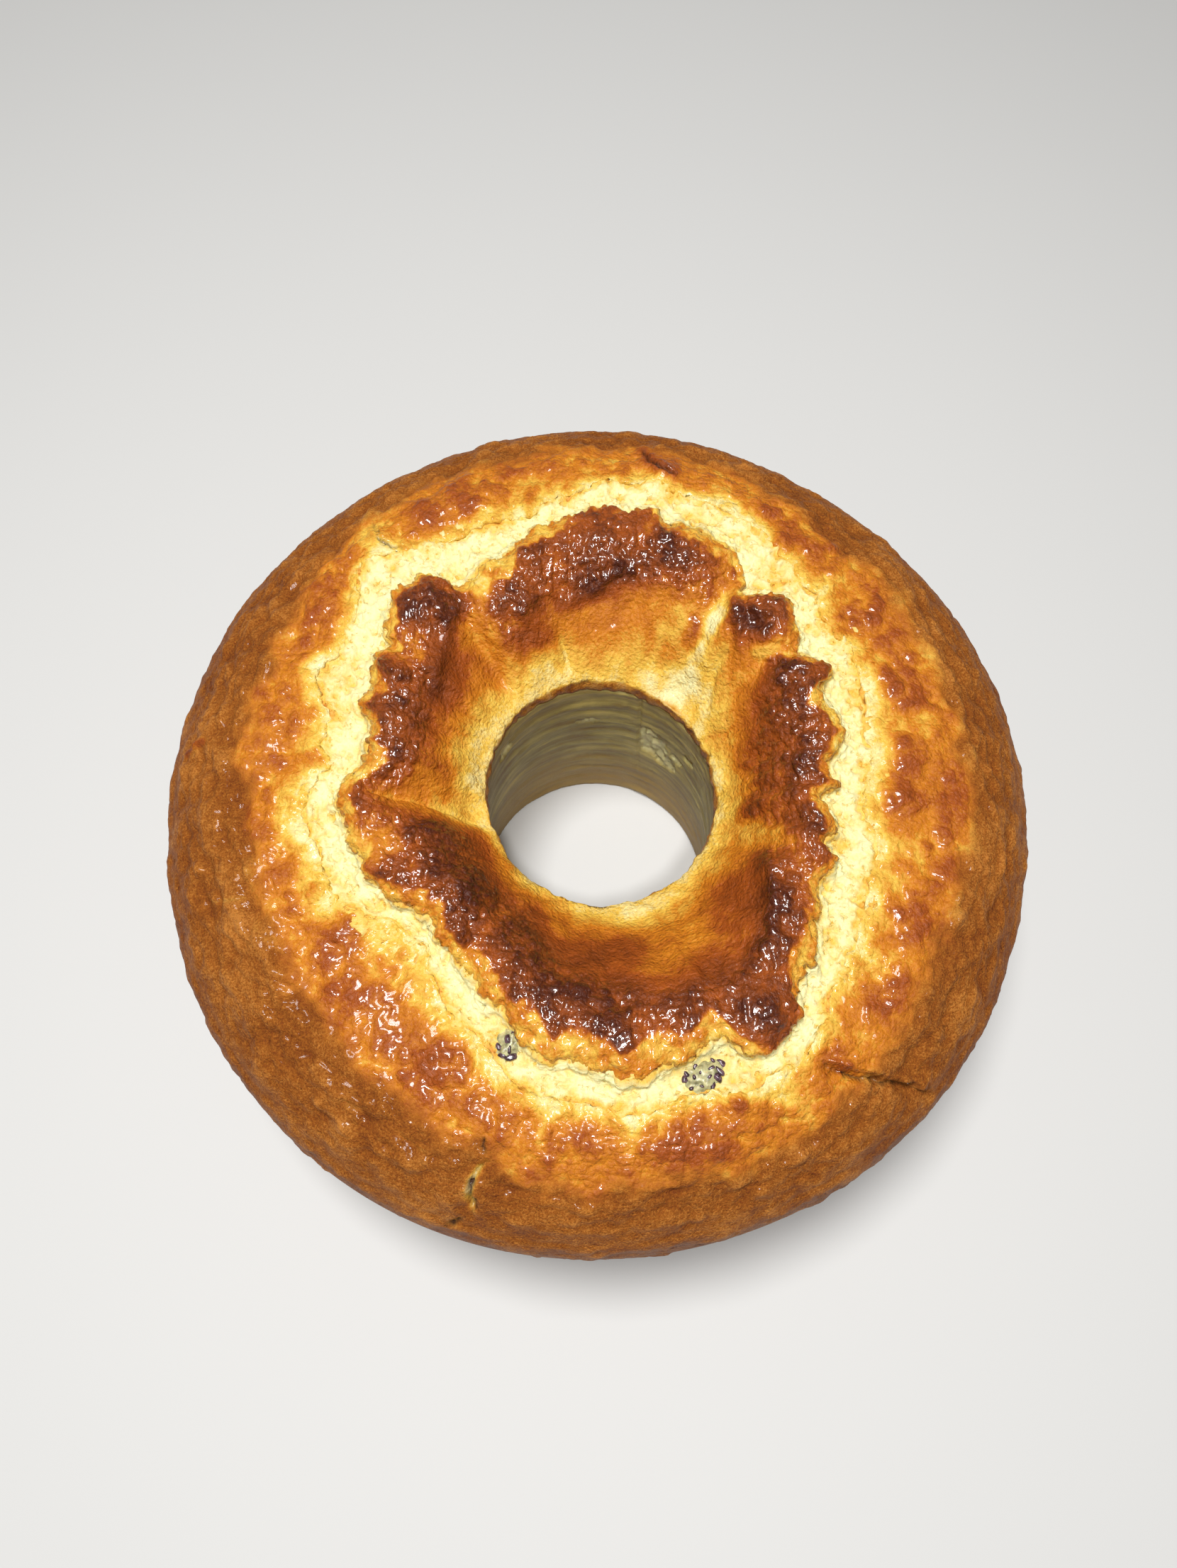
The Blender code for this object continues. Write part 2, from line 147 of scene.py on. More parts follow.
# Browned patches: angle, radius, half length round the ring, half width across it, how much browner.
BROWN_PATCHES = (
    (8, 53, 12, 12, 0.20), (24, 57, 9, 8, 0.34), (30, 57, 4, 5, 0.16), (25, 66, 3, 5, 0.30),
    (44, 65, 6, 9, 0.27), (47.4, 61, 3, 2.5, 0.5), (58, 50.5, 4, 3.5, 0.28), (57, 74, 2.5, 3, 0.30),
    (71, 68, 8, 7, 0.34), (77, 72, 3, 4, 0.20), (79, 60, 6, 5, 0.16), (89, 75, 12, 6, 0.22),
    (90, 64, 12, 7, 0.36), (95, 57, 9, 4, 0.30), (108, 66, 6, 7, 0.30), (115, 56, 8, 5, 0.36),
    (113, 46, 8, 4, 0.18), (126, 52, 4, 5, 0.14), (137, 69, 8, 8, 0.30), (135, 65, 6, 5, 0.18),
    (149, 50, 11, 5, 0.20), (170, 54, 12, 7, 0.26), (167, 64, 4, 4, 0.22), (193, 64, 5, 5, 0.20),
    (209, 48, 10, 12, 0.34), (203, 47, 3, 6, 0.16), (211, 65, 3, 4, 0.22), (227, 50, 10, 9, 0.36),
    (230, 48, 5, 4, 0.22), (233, 61, 3, 4, 0.24), (222, 37, 20, 5, 0.26), (246, 49, 6, 11, 0.28),
    (254, 60, 5, 9, 0.36), (264, 63, 8, 7, 0.42), (276, 63, 9, 6, 0.36), (274, 72, 5, 6, 0.36),
    (262, 71, 3, 5, 0.24), (290, 70, 8, 6, 0.22), (268, 50, 14, 5, 0.20), (303, 76, 6, 10, 0.38),
    (299, 65, 6, 4, 0.18), (310, 67, 5, 5, 0.28), (319, 58, 7, 5, 0.22), (327, 63, 7, 4, 0.14),
    (344, 58, 4, 6, 0.30), (350, 43, 4, 3.5, 0.32), (358, 55, 8, 8, 0.18), (318, 50, 9, 6, 0.16),
    (116, 95, 4, 7, 0.26), (124, 96, 5, 6, 0.20), (150, 93, 5, 5, 0.20), (172, 92, 12, 6, 0.04),
    (179, 78, 2.5, 4, 0.20), (216, 80, 5, 7, 0.26), (227, 86, 4, 4, 0.24), (245, 88, 7, 10, 0.28),
    (269, 97, 2.5, 4, 0.24), (285, 102, 10, 6, 0.24), (293, 95, 3, 4, 0.22), (322, 97, 6, 4, 0.12),
    (335, 93, 5, 4, 0.22), (348, 91, 2, 2.5, 0.22), (355, 83, 5, 7, 0.26), (3, 84, 7, 6, 0.22),
    (357, 97, 6, 6, 0.20), (18, 89, 6, 5, 0.22), (33, 94, 4, 5, 0.30), (33, 84, 4, 5, 0.20),
    (54, 89, 4, 8, 0.26), (61, 99, 5, 6, 0.14), (79, 101, 4, 5, 0.12), (308, 97.5, 3.5, 4, 0.26),
    (311, 101, 3, 4, 0.16), (319, 96.5, 3, 3, 0.24), (345, 98, 9, 5, 0.12), (352, 96, 5, 4, 0.14),
    (240, 92, 9, 6, 0.10), (225, 92, 8, 6, 0.12), (276, 101, 8, 4, 0.10), (120, 97, 9, 7, 0.12),
    (25, 90, 8, 7, 0.10), (200, 88, 8, 6, 0.06), (155, 94, 8, 5, 0.06), (183, 60, 8, 4, 0.14),
    (186, 54, 6, 3, 0.12), (181, 43, 4, 3, 0.08), (74, 67.5, 7, 6, 0.32), (336, 91, 4, 5, 0.12),
    (35, 93, 4, 6, 0.12), (118, 47, 6, 4, 0.12),
)
# Paler places: the same columns, how much paler.
PALE_PATCHES = (
    (36, 60, 2.5, 7, 0.24), (54, 42, 6, 9, 0.30), (55, 57, 3, 9, 0.40), (64, 55, 2.5, 8, 0.12),
    (104, 45, 3, 5, 0.10), (124, 66, 3, 8, 0.30), (130, 52, 4, 9, 0.12), (161, 58, 2, 3, 0.16),
    (148, 60, 3, 5, 0.14), (185, 50, 4, 7, 0.10), (195, 41, 5, 9, 0.22), (190, 58, 3, 6, 0.16),
    (216, 57, 2, 4, 0.16), (239, 52, 2, 9, 0.18), (295, 50, 9, 9, 0.18), (340, 48, 5, 9, 0.20),
    (38, 44, 7, 6, 0.14), (276, 92, 2, 5, 0.20), (263, 96, 2, 5, 0.14), (300, 96, 5, 7, 0.22),
    (325, 90, 4, 4, 0.16), (203, 60, 8, 6, 0.14), (286, 72, 4, 4, 0.12), (312, 61, 4, 4, 0.10),
    (134, 94, 4, 6, 0.20), (10, 93, 3, 5, 0.18), (65, 92, 5, 4, 0.16), (42, 94, 3, 5, 0.14),
)
# Ridges and creases: half width, rise, how much browner, then points as angle and radius.
CREASES = (
    (1.6, 0.9, 0.30, (130, 63), (136, 60), (142, 56), (149, 53), (157, 51)),
    (1.3, 1.0, 0.30, (157, 58), (156.5, 62), (155.5, 68)),
    (1.4, 0.7, 0.28, (86, 60), (92, 55.5), (98, 53), (104, 52)),
    (2.0, 1.1, 0.26, (309, 69), (314, 65.5), (320, 60), (327, 55), (333, 50)),
    (1.5, -1.6, 0.25, (42, 61.5), (46, 60), (50.5, 61)),
    (1.2, 0.8, 0.10, (50, 58), (53, 61.5), (54, 65)),
    (1.2, 0.6, 0.18, (201, 43), (201.5, 48), (203, 54)),
    (0.9, -0.9, 0.05, (30, 61), (33, 58), (38, 54)),
    (1.4, 0.8, 0.16, (116, 52), (111, 54), (105, 57)),
    (0.7, -0.7, -0.12, (105.4, 46), (104.8, 43), (104, 40), (104.4, 37)),
    (1.2, 0.7, -0.12, (69.5, 50), (68.6, 46), (68, 42), (66.6, 37)),
    (1.2, -0.9, -0.10, (47, 51), (45.6, 47), (42, 42.5), (37.5, 39)),
    (0.6, -0.8, -0.06, (189.5, 64), (190, 58), (191.2, 50), (195, 41), (200.4, 34.5)),
    (1.0, 1.2, 0.10, (54.4, 63), (50, 60.5), (46, 56), (41, 53)),
)
# Cracks and folds of the outer crust: half width, depth, step of one side, how dark the painted shadow
# in the crack is, how pale its edges are, then points as angle and radius.
SPLITS = (
    (0.4, 1.4, 0.3, 0.9, 0.05, (254.7, 100), (255.2, 102.4), (255.8, 104.4)),
    (0.5, 1.8, 0.7, 0.5, 0.42, (256.4, 105), (255.4, 107.4), (254.9, 110), (254.8, 113), (255.5, 116),
     (255.9, 120)),
    (0.7, 1.6, 0.0, 1.0, 0.0, (255.1, 109.6), (254.7, 112.2), (255.0, 113.6)),
    (0.9, 2.6, 0.0, 1.0, 0.0, (255.3, 114.0), (256.0, 117.0)),
    (0.6, 1.6, 0.3, 1.0, 0.1, (255.0, 119.6), (253.9, 121.4), (252.9, 122.4)),
    (0.55, 2.0, 3.4, 0.8, 0.05, (306.5, 95), (308, 101), (310.5, 106), (313, 111), (316, 117),
     (317.5, 121.5)),
    (0.3, 0.7, 0.2, 0.35, 0.1, (347, 95), (348.6, 99), (348.9, 103), (350, 107)),
    (0.35, 1.2, 0.3, 0.8, 0.1, (131.2, 88), (132.4, 92), (133, 96), (132, 100), (131.6, 104)),
    (0.3, 0.5, 0.2, 0.25, 0.1, (204.4, 93), (202.6, 98), (201.8, 103), (200.6, 110), (200, 118)),
    (0.3, 0.4, 0.1, 0.1, 0.15, (22.5, 97), (21.8, 100), (21.4, 103)),
    (0.4, 0.6, 0.6, 0.4, 0.1, (234.6, 107.5), (236.8, 108.4), (238.2, 106.6)),
    (0.4, 0.4, 0.5, 0.1, 0.12, (242.4, 106.6), (245, 107.4), (248.6, 108.6)),
    (0.4, 0.5, 0.4, 0.1, 0.12, (237.6, 95.4), (239.8, 96.6)),
    (0.35, 0.5, 0.3, 0.3, 0.1, (60, 100), (66, 97), (72, 98)),
)
# Width of the golden fringe between the brown skin and the torn lip: angle, width.
FRINGE = (
    (0, 3), (10, 1.5), (17, 4), (25, 0.3), (33, 5), (40, 3), (45, 0.3), (52, 1), (58, 2), (65, 5), (72, 5),
    (77, 2), (82, 0.5), (95, 1), (103, 5), (110, 4), (116, 8), (122, 6), (130, 2), (137, 1), (143, 3),
    (150, 4), (156, 1), (162, 5), (167, 1), (175, 3), (184, 6), (193, 3), (203, 3), (210, 1), (218, 4),
    (226, 5), (234, 2), (243, 6), (252, 4), (257, 8), (262, 5), (268, 8), (274, 6), (282, 8), (290, 5),
    (296, 5), (300, 0.5), (308, 0.5), (314, 5), (322, 3), (330, 2), (337, 1), (343, 2), (350, 4), (356, 3),
)
# How brown the smooth slope of the hole gets: angle, amount.
SLOPE_BROWN = (
    (0, 0.44), (30, 0.40), (60, 0.32), (90, 0.38), (120, 0.36), (150, 0.46), (180, 0.46), (200, 0.40),
    (225, 0.48), (270, 0.52), (300, 0.48), (330, 0.44),
)
# Places where the skin of the hole's wall is torn off: angle, height, half length, half height.
WALL_TEARS = (
    (58, 46, 5.0, 7.5), (50, 40, 4.0, 4.0), (63, 53, 3.0, 4.0), (43, 48, 2.4, 2.4), (35, 56, 2.4, 2.0),
    (96, 56, 4.0, 1.1), (148, 67, 3.4, 3.4),
)
# Seam down the hole's wall: its angle at the foot, its turn with height, half width and depth.
WALL_SEAM = (64.0, 0.065, 0.5, 0.5)
# The front crack where it runs down the side, with painted shadow along it: half width, depth, then points
# as angle and height.
SIDE_SPLIT = (0.5, 2.0, (254.2, 71), (253.8, 66), (254.5, 60), (254.0, 54))
# Peel of skin at the back, and a fleck of fruit skin on the left shoulder.
PEEL_EDGE = ((78.2, 97), (80.4, 98.5), (82.4, 101.5), (83.6, 106.5))
FLECK = ((176.2, 110), (176.4, 112.5), (177.4, 115.5))

# Fruit in the crack: angle, radius, half sizes along, across and up, turn.
FRUIT_BITS = {
    "fruit_bit_front": (289.0, 85.5, (6.2, 4.2, 3.4), 8.0),
    "fruit_bit_left": (254.5, 77.5, (3.6, 5.4, 3.2), -8.0),
}
# Beads of the fruit: place along and across as shares of the half sizes, size.
BEADS = {
    "fruit_bit_front": (
        (-0.78, 0.28, 1.0), (-0.62, 0.50, 0.8), (-0.42, 0.12, 0.6), (-0.05, 0.24, 0.7), (0.14, -0.22, 0.6),
        (0.44, -0.42, 1.3), (0.62, -0.20, 1.1), (0.36, 0.18, 0.7), (0.86, 0.20, 1.2), (0.12, -0.74, 0.9),
        (-0.70, -0.36, 0.7), (-0.16, 0.72, 0.8), (0.58, 0.52, 0.6), (-0.28, -0.52, 0.5),
    ),
    "fruit_bit_left": (
        (-0.50, 0.70, 1.2), (0.08, 0.62, 1.0), (0.34, 0.26, 0.8), (-0.24, 0.02, 1.1), (-0.60, -0.46, 0.9),
        (0.46, -0.66, 1.3), (0.16, -0.38, 0.8), (0.72, 0.06, 0.7), (-0.10, 0.34, 0.6), (-0.10, -0.74, 0.9),
    ),
}

# The ring that is spun before its points move to their places, in metres, and how finely each
# step of the spin is cut.
DRAWN_CENTRE = 0.08
DRAWN_RADIUS = 0.03
STEP_CUTS = 8

# The two torn lips: seed, size of their coarse and of their fine teeth, and the stations where their
# wandering begins and ends.
LIPS = ((11, 1.3, 0.7, 0.78, 1.45), (21, 1.8, 0.8, 1.6, 2.7))
# How steeply a lump falls away, and over what length a valley begins and ends.
LUMP_STEEPNESS = 1.4
VALLEY_BEGINS = 6.0
VALLEY_ENDS = 8.0
# How far out the tilt of the rim reaches.
TILT_REACH = 16.0
# Shallow pits and blisters: half length, half width, depth, and the degrees that one can reach.
DIMPLE_LENGTH = (1.2, 3.4)
DIMPLE_WIDTH = (0.6, 1.3)
DIMPLE_DEPTH = (-0.5, 0.5)
DIMPLE_REACH = 5.0
DIMPLE_RADIUS = 115.0
# Creases and cracks fade at both ends: their whole length over the length of the fade.
CREASE_FADE = 6.0
SPLIT_FADE = 5.0
# Browning above the limit is drawn together, into this room.
BROWN_LIMIT = 0.62
BROWN_ROOM = 0.42


# Form of the cake.
def smooth_curve(x, points):
    """Height at x of a smooth curve through the points, with slopes taken from the neighbours."""
    xs, ys = np.array(points, float).T
    slopes = np.gradient(ys, xs)
    i = np.clip(np.searchsorted(xs, x, side="right") - 1, 0, len(xs) - 2)
    width = xs[i + 1] - xs[i]
    t = np.clip((x - xs[i]) / width, 0.0, 1.0)
    return (
        (2 * t**3 - 3 * t**2 + 1) * ys[i]
        + (t**3 - 2 * t**2 + t) * width * slopes[i]
        + (3 * t**2 - 2 * t**3) * ys[i + 1]
        + (t**3 - t**2) * width * slopes[i + 1]
    )


def round_the_ring(angle, rows, column=1):
    """Value of one column of a table of angles, as a smooth curve that closes on itself."""
    first, last = rows[0], rows[-1]
    closed = [(last[0] - 360.0, last[column])]
    closed += [(row[0], row[column]) for row in rows]
    closed += [(first[0] + 360.0, first[column]), (rows[1][0] + 360.0, rows[1][column])]
    return smooth_curve(np.mod(angle, 360.0), closed)


def turn_between(angle, centre):
    """Signed angle from the centre, between -180 and 180."""
    return np.mod(angle - centre + 180.0, 360.0) - 180.0


def round_from(angle, centre, radius):
    """Length round the ring from the centre's angle."""
    return np.radians(turn_between(angle, centre)) * radius


def falls_away(distance, half_width):
    """1 in the middle of a line or spot, and less and less beside it."""
    return np.exp(-((distance / half_width) ** 2))


def lumps(angle, radius, table):
    """Height of the lumps of a table."""
    height = np.zeros_like(radius)
    for centre, middle, along, across, rise in table:
        u = round_from(angle, centre, middle) / along
        v = (radius - middle) / across
        height += rise * np.exp(-LUMP_STEEPNESS * (u * u + v * v))
    return height


def valleys(angle, radius):
    """Depth of the valleys between the lumps."""
    depth = np.zeros_like(radius)
    for first_angle, first, last_angle, last, half_width, drop in VALLEYS:
        along = np.clip((radius - first) / (last - first), 0.0, 1.0)
        centre = first_angle + (last_angle - first_angle) * along
        begun = np.clip((radius - first) / VALLEY_BEGINS, 0.0, 1.0)
        ending = np.clip((last - radius) / VALLEY_ENDS, 0.0, 1.0)
        depth += drop * begun * ending * falls_away(round_from(angle, centre, radius), half_width)
    return depth


def side_radius(angle):
    """Radius of the cake at the top edge of its side wall."""
    waves = sum(size * np.cos(np.radians(turns * (angle - crest))) for turns, size, crest in SIDE_WAVES)
    return SIDE_RADIUS + waves


def hole_radius(height, angle):
    """Distance of the hole's wall from the Z axis; it widens and shifts towards its foot."""
    share = np.clip(height / RIM_HEIGHT, 0.0, 1.0)
    wall = FOOT_RADIUS + (RIM_RADIUS - FOOT_RADIUS) * share
    x = FOOT_CENTRE[0] + (RIM_CENTRE[0] - FOOT_CENTRE[0]) * share
    y = FOOT_CENTRE[1] + (RIM_CENTRE[1] - FOOT_CENTRE[1]) * share
    a = np.radians(angle)
    return wall + x * np.cos(a) + y * np.sin(a)


def rim_tilt(angle, radius):
    """How far the rim's slope lifts a point near the hole."""
    a = np.radians(angle)
    slope = (RIM_SLOPE[0] * np.cos(a) + RIM_SLOPE[1] * np.sin(a)) * radius
    return slope * falls_away(radius - RIM_RADIUS, TILT_REACH)


def ease(x, low, high):
    """0 below low, 1 above high and a smooth step between."""
    t = np.clip((x - low) / (high - low), 0.0, 1.0)
    return t * t * (3.0 - 2.0 * t)


# Noise.
def cell_values(x, y, z, seed):
    """A fixed number between -1 and 1 for each cell of a grid."""
    n = (x * 73856093) ^ (y * 19349663) ^ (z * 83492791) ^ (seed * 668265263)
    n = ((n ^ (n >> 15)) * 224682251) & 0xFFFFFFFF
    n = ((n ^ (n >> 13)) * 326648991) & 0xFFFFFFFF
    return ((n ^ (n >> 16)) & 0xFFFFFF) / float(0x7FFFFF) - 1.0


def hills(points, length, seed):
    """Soft random hills between -1 and 1, with about this length from hill to hill."""
    scaled = points / length
    low = np.floor(scaled).astype(np.int64)
    t = scaled - low
    t = t * t * t * (t * (t * 6.0 - 15.0) + 10.0)
    total = np.zeros(points.shape[:-1])
    for corner in range(8):
        step = (corner & 1, corner >> 1 & 1, corner >> 2 & 1)
        share = np.ones(points.shape[:-1])
        for axis in range(3):
            share = share * (t[..., axis] if step[axis] else 1.0 - t[..., axis])
        cell = low + np.array(step)
        total += share * cell_values(cell[..., 0], cell[..., 1], cell[..., 2], seed)
    return total


def rough(points, length, seed, layers=3):
    """Hills with smaller hills on them."""
    total = np.zeros(points.shape[:-1])
    for layer in range(layers):
        total += hills(points, length / 2.03**layer, seed + layer) / 1.9**layer
    return total


def creased(points, length, seed, layers=2):
    """Rounded lumps parted by sharp creases, between about -1 and 1."""
    total = np.zeros(points.shape[:-1])
    for layer in range(layers):
        folded = np.abs(hills(points, length / 2.1**layer, seed + layer))
        total += (2.0 * np.sqrt(folded + 0.02) - 1.0) / 2.0**layer
    return total


def blended(points, recipe):
    """Sum of noises: each row of a recipe has a kind, an amount, a length, a seed and its layers."""
    return sum(amount * kind(points, length, seed, layers) for kind, amount, length, seed, layers in recipe)


# Recipes of noise. The lengths are millimetres, and the seed picks one of many random patterns.
SKIN = ((creased, 0.5, 3.8, 61, 2), (creased, 0.6, 2.2, 65, 2), (creased, 0.35, 1.5, 67, 2))
RIM_BUMPS = ((rough, 0.35, 6.0, 85, 2), (rough, 0.4, 2.2, 87, 1))
GOLDEN_BUMPS = ((creased, 0.8, 5.2, 131, 2), (rough, 0.6, 3.2, 135, 3), (creased, 0.45, 1.7, 141, 2))
CRUMB_FLUFF = ((rough, 0.8, 3.4, 101, 4), (creased, 0.2, 3.6, 109, 2), (rough, 0.5, 1.3, 111, 3))
SIDE_SWELLINGS = ((rough, 0.35, 14.0, 151, 3), (rough, 0.2, 2.4, 149, 2))
WALL_LAYERS = ((creased, 0.28, 2.4, 161, 2), (rough, 0.25, 4.0, 165, 3))
PULP_SWELL = ((rough, 0.14, 2.8, 181, 3), (rough, 0.06, 1.0, 185, 3))


def blisters(points, length, seed):
    """Distance to the nearest of many scattered points, from 0 at a point to about 1."""
    scaled = points / length
    low = np.floor(scaled).astype(np.int64)
    nearest = np.full(points.shape[:-1], 9.0)
    for step in range(27):
        cell = low + np.array((step % 3 - 1, step // 3 % 3 - 1, step // 9 - 1))
        away = np.zeros(points.shape[:-1])
        for axis in range(3):
            jump = cell_values(cell[..., 0], cell[..., 1], cell[..., 2], seed + axis) * 0.45
            away += (cell[..., axis] + 0.5 + jump - scaled[..., axis]) ** 2
        nearest = np.minimum(nearest, away)
    return np.sqrt(nearest)


# Places on the cake.
def torn(angle, radius, seed, coarse, fine):
    """How far a torn lip wanders in and out as it goes round the ring."""
    a = np.radians(angle)
    lip = np.stack([radius * np.cos(a), radius * np.sin(a), 0.0 * a], -1)
    teeth = 0.6 * creased(lip, 3.6, seed + 4) + 0.6 * rough(lip, 2.0, seed + 8)
    return coarse * rough(lip, 7.5, seed) + 0.75 * fine * teeth


def top_points(station, angle, curve=TOP_CURVE):
    """Radius and height of the top of the cake, with torn lips at stations 1 and 2."""
    lips = (round_the_ring(angle, CRACK, 1), round_the_ring(angle, CRACK, 2))
    edges = [hole_radius(RIM_HEIGHT, angle), *lips, SHOULDER_RADIUS, side_radius(angle)]
    radius = edges[0]
    for band in range(4):
        radius = radius + (edges[band + 1] - edges[band]) * np.clip(station - band, 0.0, 1.0)
    for lip, (seed, coarse, fine, begins, ends) in enumerate(LIPS, 1):
        share = ease(station, begins, lip) * (1.0 - ease(station, lip, ends))
        radius = radius + torn(angle, edges[lip], seed, coarse, fine) * share
    height = smooth_curve(station, curve) + lumps(angle, radius, INNER_LUMPS)
    height = height + lumps(angle, radius, OUTER_LUMPS) - valleys(angle, radius)
    return radius, height + rim_tilt(angle, radius)


def on_top(angle, radius):
    """Place in space of a point of the outer crust, found from its angle and radius."""
    stations = np.linspace(1.0, 4.0, 121)
    radii, heights = top_points(stations, np.full(len(stations), float(angle)))
    a = math.radians(angle)
    return np.array((radius * math.cos(a), radius * math.sin(a), np.interp(radius, radii, heights)))


def line_on_top(places):
    """Places in space of a line that is drawn on the outer crust."""
    return np.array([on_top(*place) for place in places])


def line_distance(points, line):
    """Distance of each point from a line of places, and how far along it the nearest place is."""
    nearest = np.full(points.shape[:-1], 1e9)
    along = np.zeros(points.shape[:-1])
    for k in range(len(line) - 1):
        reach = line[k + 1] - line[k]
        share = np.clip(((points - line[k]) @ reach) / (reach @ reach), 0.0, 1.0)
        away = np.linalg.norm(points - line[k] - share[..., None] * reach, axis=-1)
        closer = away < nearest
        nearest = np.where(closer, away, nearest)
        along = np.where(closer, (k + share) / (len(line) - 1), along)
    return nearest, along


def flat(angle, radius):
    """Place in plan of an angle and radius."""
    a = math.radians(angle)
    return np.array((radius * math.cos(a), radius * math.sin(a)))


class Grid:
    """The points of a spun ring, by row round its outline and column round the Z axis."""

    def __init__(self, angle, blocks):
        shaped = [np.broadcast_arrays(radius, height, angle)[:2] for radius, height in blocks]
        radius = np.concatenate([np.atleast_2d(block[0]) for block in shaped])
        height = np.concatenate([np.atleast_2d(block[1]) for block in shaped])
        a = np.radians(angle)
        self.points = np.stack([radius * np.cos(a), radius * np.sin(a), height], -1)
        self.marks = {}

    def by_row(self, *values):
        """One number for each row, spread round the ring. Numbers and lists are strung together."""
        strung = np.concatenate([np.atleast_1d(value) for value in values])
        return np.broadcast_to(strung[:, None], self.radius.shape)

    @property
    def radius(self):
        """Distance of each point from the Z axis."""
        return np.hypot(self.points[..., 0], self.points[..., 1])

    def normals(self):
        """Outward direction of the ring's surface at each point; the rows run rim, top, side, base."""
        down = np.roll(self.points, -1, 0) - np.roll(self.points, 1, 0)
        across = np.roll(self.points, -1, 1) - np.roll(self.points, 1, 1)
        facing = np.cross(down, across)
        return facing / np.maximum(np.linalg.norm(facing, axis=-1, keepdims=True), 1e-9)

    def raise_by(self, relief):
        """Moves the points outwards."""
        self.points = self.points + self.normals() * relief[..., None]


def edges_round(build):
    """The edges of a spun ring that run round the Z axis."""
    found = []
    for edge in build.edges:
        first, last = (math.atan2(vert.co.y, vert.co.x) for vert in edge.verts)
        if abs(math.remainder(first - last, 2 * math.pi)) > 1e-4:
            found.append(edge)
    return found


def spun_piece(name, grid, material):
    """Spins a circle round the Z axis into a closed ring and moves its points to the grid's."""
    rows, columns = grid.points.shape[:2]
    build = bmesh.new()
    upright = Matrix.Translation((DRAWN_CENTRE, 0.0, 0.0)) @ Matrix.Rotation(math.pi / 2, 4, "X")
    bmesh.ops.create_circle(build, segments=rows, radius=DRAWN_RADIUS, matrix=upright)
    bmesh.ops.spin(
        build, geom=build.verts[:] + build.edges[:], cent=(0, 0, 0), axis=(0, 0, 1),
        angle=2 * math.pi, steps=columns // STEP_CUTS, use_merge=True,
    )
    bmesh.ops.subdivide_edges(build, edges=edges_round(build), cuts=STEP_CUTS - 1)
    mesh = bpy.data.meshes.new(name)
    build.to_mesh(mesh)
    build.free()
    drawn = np.empty(len(mesh.vertices) * 3)
    mesh.vertices.foreach_get("co", drawn)
    drawn = drawn.reshape(-1, 3)
    turn = np.arctan2(drawn[:, 1], drawn[:, 0])
    tilt = np.arctan2(drawn[:, 2], np.hypot(drawn[:, 0], drawn[:, 1]) - DRAWN_CENTRE)
    column = np.round(turn * columns / (2 * math.pi)).astype(int) % columns
    row = np.round(tilt * rows / (2 * math.pi)).astype(int) % rows
    places = grid.points[row, column] + np.array((*RING_SHIFT, 0.0))
    mesh.vertices.foreach_set("co", (places * MM).ravel())
    for key, values in grid.marks.items():
        mark = mesh.attributes.new(key, "FLOAT", "POINT")
        mark.data.foreach_set("value", np.clip(values[row, column], 0.0, 1.0).astype(np.float32))
    finished(name, mesh, [material], "cake")


def finished(name, mesh, materials, node):
    """Puts a mesh in the scene as a piece that stands for a node of the solid model."""
    build = bmesh.new()
    build.from_mesh(mesh)
    bmesh.ops.recalc_face_normals(build, faces=build.faces)
    build.to_mesh(mesh)
    build.free()
    mesh.shade_smooth()
    for material in materials:
        mesh.materials.append(material)
    piece = bpy.data.objects.new(name, mesh)
    bpy.context.scene.collection.objects.link(piece)
    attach(piece, "root")
    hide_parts(node)


# Browning and relief.
def patch_sum(angle, radius, table):
    """Soft-edged patches, added up."""
    total = np.zeros_like(radius)
    for centre, middle, along, across, amount in table:
        u = round_from(angle, centre, middle) / along
        v = (radius - middle) / across
        away = u * u + v * v
        total += amount * np.exp(-(away**1.5))
    return total


def warped(points):
    """Angle and radius of the points after a small random shift, for ragged edges of patches."""
    x = points[..., 0] + 1.7 * hills(points, 6.0, 31) + 0.7 * hills(points, 2.2, 33)
    y = points[..., 1] + 1.7 * hills(points, 6.0, 35) + 0.7 * hills(points, 2.2, 37)
    return np.degrees(np.arctan2(y, x)), np.hypot(x, y)


def browning(points, base):
    """How brown the crust is, from 0 at the crumb to 1 at the darkest skin."""
    angle, radius = warped(points)
    total = base + patch_sum(angle, radius, BROWN_PATCHES) - patch_sum(angle, radius, PALE_PATCHES)
    total = total + 0.06 * rough(points, 9.0, 41)
    plan = points[..., :2]
    for half_width, _, amount, *line in CREASES:
        away, _ = line_distance(plan, np.array([flat(*place) for place in line]))
        total += amount * falls_away(away, half_width * 1.5)
    over = np.maximum(total - BROWN_LIMIT, 0.0)
    return total - over + BROWN_ROOM * (1.0 - np.exp(-over / BROWN_ROOM))


def crease_relief(points):
    """Height of the ridges and creases."""
    plan = points[..., :2]
    rise = np.zeros(points.shape[:-1])
    for half_width, amount, _, *line in CREASES:
        away, along = line_distance(plan, np.array([flat(*place) for place in line]))
        ends = np.clip(np.minimum(along, 1.0 - along) * CREASE_FADE, 0.0, 1.0)
        rise += amount * ends * falls_away(away, half_width)
    return rise


